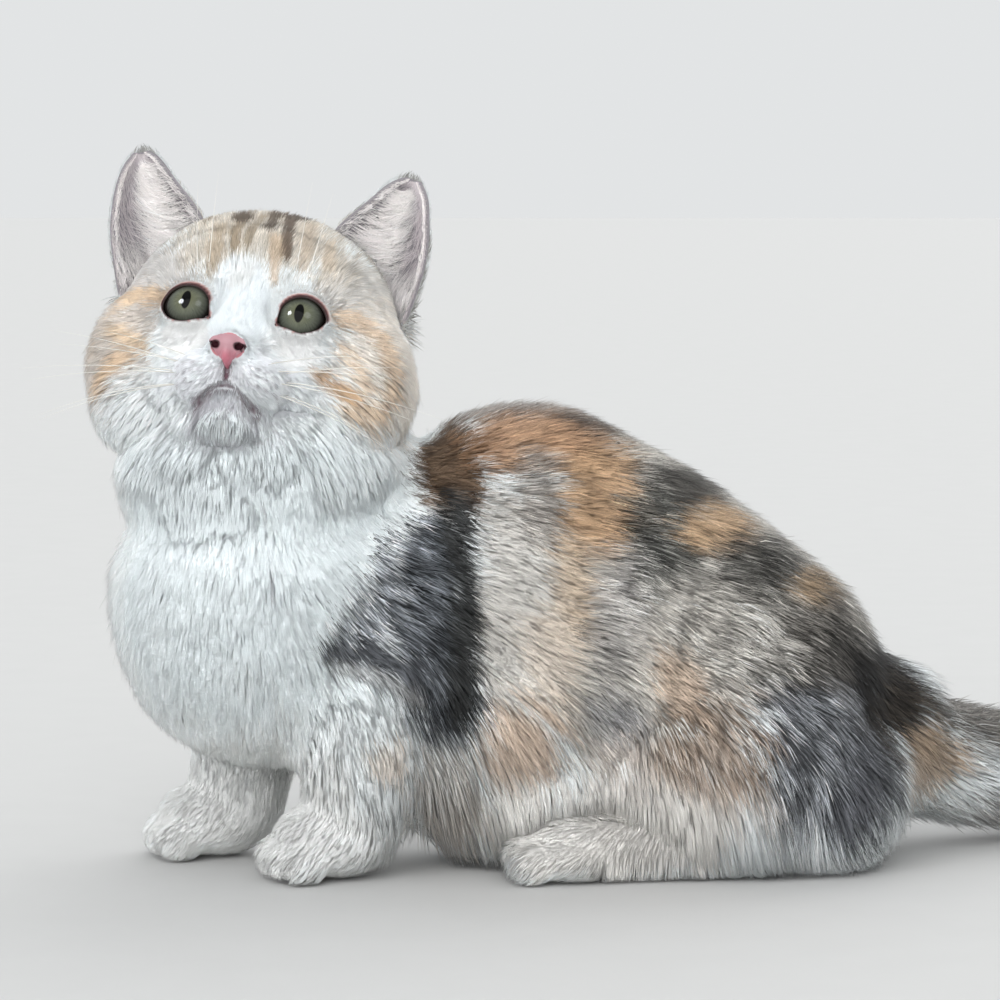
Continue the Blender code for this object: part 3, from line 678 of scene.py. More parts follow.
@dataclass
class HeadForm:
    """The flesh of the head out to the tips of its coat, in its own frame."""

    skull: tuple = (
        Lobe((-0.010, 0.0, 0.0105), (0.0415, 0.0500, 0.0445)),
        Lobe((-0.028, 0.0, -0.002), (0.028, 0.044, 0.038)),
        Lobe((-0.004, 0.0, -0.020), (0.034, 0.042, 0.024)),
        Lobe((0.008, 0.0, 0.019), (0.0245, 0.029, 0.026)),
        Lobe((0.018, 0.0, -0.016), (0.022, 0.024, 0.018)),
    )
    skull_pairs: tuple = (
        Lobe((-0.006, 0.0310, -0.006), (0.029, 0.0285, 0.0295)),
        Lobe((-0.003, 0.0280, -0.021), (0.028, 0.0275, 0.022)),
        Lobe((0.0120, 0.0220, 0.004), (0.0170, 0.0180, 0.0170)),
    )
    face: tuple = (
        Lobe((0.0260, 0.0, -0.003), (0.0160, 0.0110, 0.0145)),
        Lobe((0.0215, 0.0, 0.0095), (0.0142, 0.0125, 0.0125)),
        Lobe((0.0370, 0.0, -0.012), (0.0130, 0.0092, 0.0085)),
        Lobe((0.0455, 0.0, -0.0140), (0.0080, 0.0058, 0.0058)),
        Lobe((0.0305, 0.0, -0.0360), (0.0112, 0.0125, 0.0075)),
        Lobe((0.0150, 0.0, -0.0345), (0.0205, 0.0220, 0.0130)),
        Lobe((0.0060, 0.0, -0.0400), (0.0240, 0.0260, 0.0150)),
    )
    face_pairs: tuple = (
        Lobe((0.0468, 0.0042, -0.0148), (0.0058, 0.0036, 0.0040)),
        Lobe((0.0350, 0.0088, -0.0225), (0.0145, 0.0112, 0.0100)),
        Lobe((0.0130, 0.0190, 0.014), (0.0150, 0.0150, 0.0120)),
        Lobe((0.0170, 0.0170, -0.017), (0.0160, 0.0135, 0.0135)),
        Lobe((0.0215, 0.0090, -0.0070), (0.0140, 0.0085, 0.0115)),
        Lobe((0.0165, 0.0220, -0.0070), (0.0140, 0.0135, 0.0100)),
    )
    mouth: tuple = (
        (0.0, -0.0257),
        (0.0028, -0.0267),
        (0.0055, -0.0288),
        (0.0082, -0.0310),
        (0.0104, -0.0320),
    )
    philtrum: tuple = ((0.0, -0.0190), (0.0, -0.0258))
    skull_voxel: float = 0.0022
    face_voxel: float = 0.00115

    def lobes(self, shape: bmesh.types.BMesh, middle: tuple, pairs: tuple) -> None:
        """Adds the lobes on the midline and those on both sides."""
        for lobe in middle:
            add_ellipsoid(shape, Matrix.Translation(lobe.place), lobe.radii)
        for lobe in pairs:
            for side in Side:
                add_ellipsoid(shape, Matrix.Translation(side.mirror(lobe.place)), lobe.radii)

    def outer(self) -> bpy.types.Object:
        """The head out to the tips of its coat, without eyes or ears."""
        shape = bmesh.new()
        self.lobes(shape, self.skull, self.skull_pairs)
        skull = fused("skull", shape, self.skull_voxel, 26)
        shape = bmesh.new()
        shape.from_mesh(skull.data)
        bpy.data.objects.remove(skull)
        self.lobes(shape, self.face, self.face_pairs)
        return fused("head", shape, self.face_voxel, 15)

    def refine(self, head: bpy.types.Object, eyes: Eyes) -> None:
        """Meshes the head more finely round the eyes, nose and mouth."""
        shape = bmesh.new()
        shape.from_mesh(head.data)
        zones = [(eyes.matrix(side).translation + Vector((0.006, 0, 0)), 0.0155) for side in Side]
        zones.append((Vector((0.040, 0.0, -0.026)), 0.0185))
        edges = set()
        for face in shape.faces:
            middle = face.calc_center_median()
            if any((middle - place).length < reach for place, reach in zones):
                edges.update(face.edges)
        bmesh.ops.subdivide_edges(shape, edges=list(edges), cuts=1, use_grid_fill=True)
        shape.to_mesh(head.data)
        shape.free()

    def open_eyes(self, head: bpy.types.Object, eyes: Eyes) -> None:
        """Raises the lids over the eyes and cuts the openings and sockets."""
        for side in Side:
            shape = bmesh.new()
            add_ellipsoid(shape, eyes.matrix(side), (eyes.radius + eyes.lid,) * 3, 64)
            combined(head, new_piece("lid", shape), "UNION")
        places = coordinates(head.data)
        near = np.zeros(len(places), bool)
        for side in Side:
            distance, _, ahead = eyes.lid_distance(places, side)
            off = np.linalg.norm(places - np.array(side.mirror(eyes.place)), axis=1)
            near |= ahead & (distance > 0.0007) & (distance < 0.0080) & (off < 0.022)
        shape = bmesh.new()
        shape.from_mesh(head.data)
        shape.verts.ensure_lookup_table()
        slope = [shape.verts[k] for k in np.flatnonzero(near)]
        for _ in range(28):
            bmesh.ops.smooth_vert(
                shape, verts=slope, factor=0.5, use_axis_x=True, use_axis_y=True, use_axis_z=True
            )
        shape.to_mesh(head.data)
        shape.free()
        for side in Side:
            combined(head, eyes.prism(side), "DIFFERENCE")
            shape = bmesh.new()
            add_ellipsoid(shape, eyes.matrix(side), (eyes.radius + 0.0002,) * 3, 64)
            combined(head, new_piece("socket", shape), "DIFFERENCE")

    def lines(self, head: bpy.types.Object) -> list:
        """The line of the mouth and the philtrum, on the head's surface.

        Args:
            head: the head, in its own frame.

        Returns:
            Rows of points, one row for each line.
        """
        surface = BVHTree.FromPolygons(
            [v.co for v in head.data.vertices], [p.vertices for p in head.data.polygons]
        )
        found = []
        mouths = [[(y * side.value, z) for y, z in self.mouth] for side in Side]
        for line in [*mouths, list(self.philtrum)]:
            points = []
            for y, z in smooth_path([Vector(p) for p in line], 8):
                hit = surface.ray_cast(Vector((0.09, y, z)), Vector((-1, 0, 0)))[0]
                points.append(np.array(hit))
            found.append(np.array(points))
        return found

    def press_lips(self, head: bpy.types.Object, lines: list) -> None:
        """Presses the line of the mouth and the philtrum into the head."""
        places = coordinates(head.data)
        normals = vertex_normals(head.data)
        for line, depth, width in zip(lines, (0.0021, 0.0021, 0.0011), (0.0009, 0.0009, 0.0007)):
            off = line_distance(places, line)
            fade = 1 - 0.8 * smooth_step(np.abs(places[:, 1]), 0.0070, 0.0112)
            groove = np.exp(-((off / width) ** 2)) * depth * fade
            lip = np.exp(-(((off - 2.2 * width) / width) ** 2)) * 0.0003 * fade
            places -= normals * (groove - lip)[:, None]
        set_coordinates(head.data, places)


def line_distance(points: np.ndarray, line: np.ndarray) -> np.ndarray:
    """How far each point is from a line of many short steps."""
    off = np.full(len(points), 1.0)
    near = np.linalg.norm(points - line.mean(0), axis=1) < 0.03
    if near.any():
        apart = points[near][:, None, :] - line[None, :, :]
        off[near] = np.linalg.norm(apart, axis=2).min(1)
    return off


@dataclass
class TrunkForm:
    """The trunk, legs and tail out to the tips of the coat."""

    lobes: tuple = (
        Lobe((-0.0825, -0.014, 0.096), (0.055, 0.055, 0.060)),
        Lobe((-0.083, -0.014, 0.141), (0.0535, 0.052, 0.040)),
        Lobe((-0.074, 0.016, 0.156), (0.041, 0.040, 0.040)),
        Lobe((-0.044, -0.032, 0.084), (0.031, 0.026, 0.045)),
        Lobe((-0.096, 0.022, 0.084), (0.032, 0.026, 0.044)),
        Lobe((-0.042, 0.006, 0.116), (0.042, 0.040, 0.034)),
        Lobe((-0.026, 0.002, 0.090), (0.066, 0.053, 0.060), 14),
        Lobe((0.008, 0.004, 0.104), (0.062, 0.054, 0.060), 8),
        Lobe((0.044, 0.006, 0.084), (0.058, 0.056, 0.062)),
        Lobe((0.080, 0.008, 0.060), (0.059, 0.058, 0.057)),
        Lobe((0.012, 0.000, 0.054), (0.084, 0.048, 0.051), 4),
        Lobe((0.114, 0.006, 0.032), (0.036, 0.046, 0.036)),
        Lobe((0.112, -0.016, 0.028), (0.034, 0.034, 0.033)),
        Lobe((0.136, 0.018, 0.046), (0.026, 0.030, 0.029)),
        Lobe((0.078, -0.030, 0.046), (0.050, 0.031, 0.045)),
        Lobe((0.080, 0.046, 0.046), (0.050, 0.031, 0.045)),
    )
    limbs: tuple = (
        (
            ((-0.044, -0.030, 0.072), (-0.046, -0.033, 0.046), (-0.049, -0.033, 0.022)),
            (0.030, 0.026, 0.0195),
        ),
        (
            ((-0.092, 0.016, 0.070), (-0.091, 0.013, 0.044), (-0.094, 0.012, 0.022)),
            (0.027, 0.021, 0.0185),
        ),
        (
            (
                (0.130, 0.016, 0.044),
                (0.158, 0.030, 0.032),
                (0.192, 0.046, 0.0250),
                (0.228, 0.062, 0.0242),
                (0.262, 0.080, 0.0222),
                (0.286, 0.100, 0.0180),
                (0.296, 0.114, 0.0140),
            ),
            (0.027, 0.0250, 0.0242, 0.0236, 0.0215, 0.0165, 0.0100),
        ),
    )
    spine: tuple = (7, 8, 9)
    voxel: float = 0.0031

    def outer(self) -> bpy.types.Object:
        """The trunk out to the tips of its coat."""
        shape = bmesh.new()
        for lobe in self.lobes:
            add_ellipsoid(shape, turned(lobe.place, lobe.turn), lobe.radii)
        stations = [Vector((*self.lobes[k].place, *self.lobes[k].radii)) for k in self.spine]
        for station in smooth_path(stations, 4):
            add_ellipsoid(shape, Matrix.Translation(station[:3]), tuple(station[3:]))
        for points, radii in self.limbs:
            add_limb(shape, points, radii)
        bmesh.ops.translate(shape, vec=MID_BACK, verts=shape.verts)
        return fused("trunk", shape, self.voxel, 20)


@dataclass(frozen=True)
class Paw:
    """A paw: its middle, which way its toes point, and its half length, half width and height."""

    name: str
    middle: tuple
    heading: float
    half_length: float
    half_width: float
    height: float
    leg: tuple = ()
    toe_radius: float = 0.0085
    heel_run: float = 0.062
    heel_radius: float = 0.0125

    def toes(self) -> list:
        """Where each toe lies, as matrices in the model's frame."""
        found = []
        for i in range(4):
            angle = math.radians((i / 3 - 0.5) * 66)
            reach = self.half_length - self.toe_radius * 0.55
            toe = Vector((math.cos(angle) * reach, math.sin(angle) * self.half_width * 1.15, 0.0))
            place = turned((*self.middle, self.toe_radius * 0.95), self.heading)
            turn = Matrix.Rotation(angle * 0.45, 4, "Z")
            found.append(Matrix.Translation(MID_BACK) @ place @ Matrix.Translation(toe) @ turn)
        return found

    def form(self) -> bpy.types.Object:
        """The paw with its fan of toes, and a hind foot's long heel."""
        shape = bmesh.new()
        place = turned((*self.middle, self.height / 2), self.heading)
        add_ellipsoid(shape, place, (self.half_length, self.half_width, self.height / 2 + 0.0005))
        if self.leg:
            add_limb(shape, *self.leg)
        else:
            back = turned((*self.middle, self.heel_radius), self.heading) @ Vector((-self.heel_run, 0, 0))
            start = Vector((*self.middle, self.heel_radius * 0.8))
            add_limb(shape, (start, (start + back) / 2, back), (self.heel_radius,) * 3)
        bmesh.ops.translate(shape, vec=MID_BACK, verts=shape.verts)
        for toe in self.toes():
            add_ellipsoid(shape, toe, (self.toe_radius * 1.15, self.toe_radius * 0.70, self.toe_radius * 0.96), 20)
        return fused(self.name, shape, 0.0014, 8)


TRUNK = TrunkForm()
HEAD_SPACE = HeadSpace()
EYES = Eyes()
EARS = Ears()
PAWS = (
    Paw("forepaw_left", (-0.0575, -0.036), 208, 0.0225, 0.0190, 0.0285, TRUNK.limbs[0]),
    Paw("forepaw_right", (-0.1015, 0.009), 196, 0.0215, 0.0185, 0.0280, TRUNK.limbs[1]),
    Paw("hindfoot_left", (0.024, -0.043), 188, 0.0200, 0.0165, 0.0185),
    Paw("hindfoot_right", (0.026, 0.056), 176, 0.0200, 0.0165, 0.0185),
)


@dataclass
class Lie:
    """The lie, length and depth of the coat, from named places."""

    body: dict = field(
        default_factory=lambda: {
            "throat": Guide((-0.085, -0.060, 0.150), (0, -0.15, -1), 10, 2.6, 0.60, Patch.BIB),
            "bib_near": Guide((-0.045, -0.055, 0.120), (0.55, 0, -1), 13, 4.6, 0.50, Patch.BIB),
            "bib_far": Guide((-0.130, -0.025, 0.120), (-0.15, 0.1, -1), 14, 5.6, 0.52, Patch.BIB),
            "bib_middle": Guide((-0.085, -0.066, 0.110), (0.0, -0.1, -1), 13, 4.2, 0.55, Patch.BIB),
            "bib_low": Guide((-0.088, -0.058, 0.072), (0.0, 0.1, -1), 13, 4.8, 0.55, Patch.BIB),
            "nape": Guide((-0.072, 0.048, 0.160), (0.3, 0.3, -1), 12, 5, 0.36, Patch.BIB),
            "nape_near": Guide((-0.030, 0.000, 0.155), (1, 0.1, -0.4), 11, 5, 0.36, Patch.SADDLE),
            "shoulder": Guide((-0.034, -0.052, 0.105), (1, -0.05, -0.30), 11, 5, 0.36, Patch.NEAR_FLANK),
            "shoulder_low": Guide((-0.036, -0.060, 0.080), (0.85, 0, -0.7), 11, 5, 0.36, Patch.NEAR_FLANK),
            "shoulder_far": Guide((-0.105, 0.042, 0.100), (0.45, 0.2, -1), 13, 5, 0.6, Patch.FAR_FLANK),
            "withers": Guide((-0.012, -0.002, 0.158), (1, 0, 0.0), 12, 5.5, 0.36, Patch.SADDLE),
            "ribs": Guide((-0.005, -0.050, 0.115), (1, -0.05, -0.12), 13, 6, 0.36, Patch.NEAR_FLANK),
            "ribs_far": Guide((-0.020, 0.054, 0.110), (1, 0.05, -0.25), 15, 6, 0.6, Patch.FAR_FLANK),
            "mid_back": Guide((0.030, 0.000, 0.158), (1, 0, 0.0), 12, 6, 0.36, Patch.SADDLE),
            "flank": Guide((0.028, -0.050, 0.085), (0.95, -0.05, -0.40), 13, 6.5, 0.36, Patch.NEAR_FLANK),
            "flank_far": Guide((0.028, 0.058, 0.085), (0.9, 0.05, -0.5), 17, 7, 0.6, Patch.FAR_FLANK),
            "loin": Guide((0.070, -0.010, 0.132), (1, 0, -0.35), 13, 6, 0.36, Patch.SADDLE),
            "croup": Guide((0.112, -0.005, 0.104), (0.75, 0, -0.7), 13, 6.5, 0.42, Patch.HAUNCHES),
            "haunch": Guide((0.085, -0.050, 0.075), (0.85, -0.05, -0.60), 12, 5.5, 0.42, Patch.HAUNCHES),
            "haunch_far": Guide((0.085, 0.066, 0.075), (0.60, 0.05, -0.8), 14, 5.5, 0.6, Patch.FAR_FLANK),
            "thigh_low": Guide((0.070, -0.052, 0.030), (0.30, -0.05, -1), 12, 4.5, 0.42, Patch.HAUNCHES),
            "foot_top": Guide((0.012, -0.047, 0.020), (-0.95, -0.14, -0.4), 3.4, 0.9, 0.31, Patch.LEGS, 7),
            "foot_back": Guide((0.034, -0.048, 0.021), (-0.80, -0.14, -0.7), 5.0, 1.3, 0.33, Patch.LEGS, 8),
            "heel": Guide((0.052, -0.050, 0.016), (-0.45, -0.1, -1), 8, 2.5, 0.36, Patch.LEGS, 9),
            "rump_end": Guide((0.145, -0.010, 0.052), (0.70, -0.1, -0.7), 15, 7, 0.42, Patch.HAUNCHES),
            "seat": Guide((0.130, -0.035, 0.022), (0.55, -0.2, -0.8), 15, 6, 0.42, Patch.HAUNCHES),
            "seat_far": Guide((0.125, 0.045, 0.022), (0.55, 0.2, -0.8), 15, 6, 0.42, Patch.HAUNCHES),
            "belly": Guide((-0.005, -0.046, 0.042), (0.25, -0.1, -1), 20, 8, 0.36, Patch.NEAR_FLANK),
            "belly_far": Guide((-0.005, 0.050, 0.042), (0.25, 0.1, -1), 20, 8, 0.6, Patch.FAR_FLANK),
            "belly_under": Guide((0.000, 0.000, 0.008), (1, 0, -0.1), 12, 5, 1.1, Patch.FAR_FLANK),
            "foreleg": Guide((-0.046, -0.057, 0.050), (0.05, -0.05, -1), 7, 1.8, 0.46, Patch.LEGS, 14),
            "foreleg_back": Guide((-0.022, -0.038, 0.045), (0.3, 0, -1), 13, 4.5, 0.44, Patch.LEGS, 14),
            "foreleg_far": Guide((-0.096, -0.006, 0.042), (-0.05, -0.05, -1), 7, 1.8, 0.46, Patch.LEGS, 14),
            "foreleg_far_out": Guide((-0.095, 0.032, 0.042), (0.0, 0.1, -1), 7, 2.4, 0.36, Patch.LEGS, 14),
            "forepaw": Guide((-0.0575, -0.036, 0.012), (-0.88, -0.47, -0.6), 3.6, 0.8, 0.42, Patch.LEGS, 9),
            "forepaw_far": Guide((-0.1015, 0.009, 0.012), (-0.96, -0.28, -0.6), 3.6, 0.8, 0.42, Patch.LEGS, 9),
            "hindfoot": Guide((0.022, -0.045, 0.009), (-0.99, -0.14, -0.5), 3.6, 0.9, 0.31, Patch.LEGS, 9),
            "hindfoot_far": Guide((0.024, 0.058, 0.009), (-0.99, 0.1, -0.2), 4.2, 1.2, 0.33, Patch.LEGS, 9),
            "tail_root": Guide((0.158, 0.028, 0.045), (0.9, 0.4, -0.15), 17, 7, 0.42, Patch.TAIL, 16),
            "tail_first": Guide((0.192, 0.046, 0.025), (0.90, 0.43, 0), 18, 7.5, 0.42, Patch.TAIL, 16),
            "tail_second": Guide((0.235, 0.066, 0.024), (0.88, 0.47, 0), 18, 7.5, 0.42, Patch.TAIL, 16),
            "tail_third": Guide((0.270, 0.086, 0.021), (0.75, 0.65, 0), 17, 6.5, 0.42, Patch.TAIL, 16),
            "tail_tip": Guide((0.293, 0.110, 0.015), (0.55, 0.83, 0), 15, 4, 0.42, Patch.TAIL, 16),
        }
    )
    head: dict = field(
        default_factory=lambda: {
            "nose_bridge": Guide((0.041, 0.000, -0.004), (-0.5, 0, 1), 2.4, 0.5, 0.23, Patch.FACE, 6),
            "forehead": Guide((0.028, 0.000, 0.020), (-0.4, 0, 1), 5.0, 1.2, 0.26, Patch.FACE, 9),
            "brow": Guide((0.024, 0.020, 0.022), (-0.3, 0.30, 1), 4.5, 1.1, 0.26, Patch.FACE, 8),
            "crown": Guide((-0.002, 0.000, 0.054), (-1, 0, 0.25), 9.0, 2.5, 0.33, Patch.HEAD, 13),
            "crown_side": Guide((0.008, 0.026, 0.044), (-0.8, 0.15, 0.6), 7.0, 1.8, 0.33, Patch.HEAD, 10),
            "occiput": Guide((-0.050, 0.000, 0.010), (-0.3, 0, -1), 12, 4.0, 0.33, Patch.HEAD, 16),
            "back_side": Guide((-0.035, 0.045, 0.000), (-0.6, 0.2, -1), 12, 4.0, 0.33, Patch.HEAD, 16),
            "inner_eye": Guide((0.036, 0.009, 0.004), (-0.3, 0.2, 1), 2.6, 0.5, 0.23, Patch.FACE, 5),
            "temple": Guide((0.014, 0.042, 0.010), (-0.8, 0.6, -0.1), 7.0, 2.0, 0.26, Patch.FACE, 9),
            "ear_root": Guide((0.002, 0.046, 0.018), (-0.7, 0.35, -0.2), 5.5, 1.4, 0.33, Patch.HEAD, 8),
            "under_eye": Guide((0.030, 0.023, -0.010), (-0.4, 0.9, -0.35), 3.6, 0.8, 0.25, Patch.FACE, 7),
            "cheek": Guide((0.018, 0.042, -0.012), (-0.5, 0.8, -0.40), 8.5, 2.2, 0.26, Patch.FACE, 10),
            "cheek_back": Guide((-0.010, 0.056, -0.012), (-0.8, 0.3, -0.9), 10.5, 2.8, 0.42, Patch.HEAD, 13),
            "jowl": Guide((0.012, 0.036, -0.034), (-0.4, 0.6, -1), 9.5, 2.0, 0.52, Patch.HEAD, 12),
            "muzzle": Guide((0.046, 0.010, -0.021), (-0.4, 1, -0.35), 2.8, 0.6, 0.23, Patch.FACE, 6),
            "muzzle_side": Guide((0.032, 0.021, -0.024), (-0.6, 0.9, -0.4), 4.5, 1.0, 0.26, Patch.FACE, 7),
            "chin": Guide((0.040, 0.000, -0.038), (-0.4, 0, -1), 4.5, 1.1, 0.26, Patch.FACE, 7),
            "chin_side": Guide((0.030, 0.014, -0.040), (-0.4, 0.4, -1), 6.5, 1.8, 0.26, Patch.FACE, 8),
            "throatlatch": Guide((0.014, 0.000, -0.050), (-0.3, 0, -1), 9.5, 2.0, 0.52, Patch.HEAD, 14),
            "ear_back": Guide((-0.014, 0.046, 0.040), (0.05, 0.2, 1), 4.6, 0.9, 0.38, Patch.EARS, 8),
            "ear_back_tip": Guide((-0.008, 0.050, 0.062), (0.0, 0.1, 1), 3.6, 0.6, 0.38, Patch.EARS, 7),
            "ear_front_edge": Guide((0.003, 0.026, 0.048), (0.1, 0.6, 0.8), 3.6, 0.6, 0.38, Patch.EARS, 5),
        }
    )

    def __post_init__(self) -> None:
        """Turns the named guides into rows of numbers in the model's frame."""
        rows = []
        shift = np.array(MID_BACK)
        for guide in self.body.values():
            rows.append((np.array(guide.place) + shift, unit(np.array(guide.lie, float)), guide))
        matrix = np.array(HEAD_SPACE.matrix())
        for guide in self.head.values():
            for side in Side:
                if side is Side.RIGHT and guide.place[1] == 0:
                    continue
                place = matrix[:3, :3] @ np.array(side.mirror(guide.place)) + matrix[:3, 3]
                lie = matrix[:3, :3] @ unit(np.array(side.mirror(guide.lie)))
                rows.append((place, lie, guide))
        self.places = np.array([row[0] for row in rows])
        self.lies = np.array([row[1] for row in rows])
        sizes = [(row[2].length * MM, row[2].depth * MM, row[2].width * MM) for row in rows]
        self.sizes = np.array(sizes)
        self.reaches = np.array([row[2].reach * MM for row in rows])
        self.patches = [row[2].patch for row in rows]

    def shares(self, points: np.ndarray) -> np.ndarray:
        """How much each guide counts at each point, one row a point."""
        apart = np.linalg.norm(points[:, None, :] - self.places[None, :, :], axis=2)
        weight = np.exp(-((apart / self.reaches) ** 2) / 2) / self.reaches + 1e-7 / (apart + 0.01) ** 4
        return weight / weight.sum(1, keepdims=True)

    def at(self, points: np.ndarray) -> tuple:
        """The coat at some points.

        Args:
            points: places in the model's frame.

        Returns:
            The lie as directions; lengths, depths and widths in metres; and the number of
            the guide that counts most.
        """
        lies, sizes, best = [], [], []
        for part in np.array_split(points, max(1, len(points) // 20000)):
            share = self.shares(part)
            lies.append(share @ self.lies)
            sizes.append(share @ self.sizes)
            best.append(share.argmax(1))
        return unit(np.concatenate(lies)), np.concatenate(sizes), np.concatenate(best)


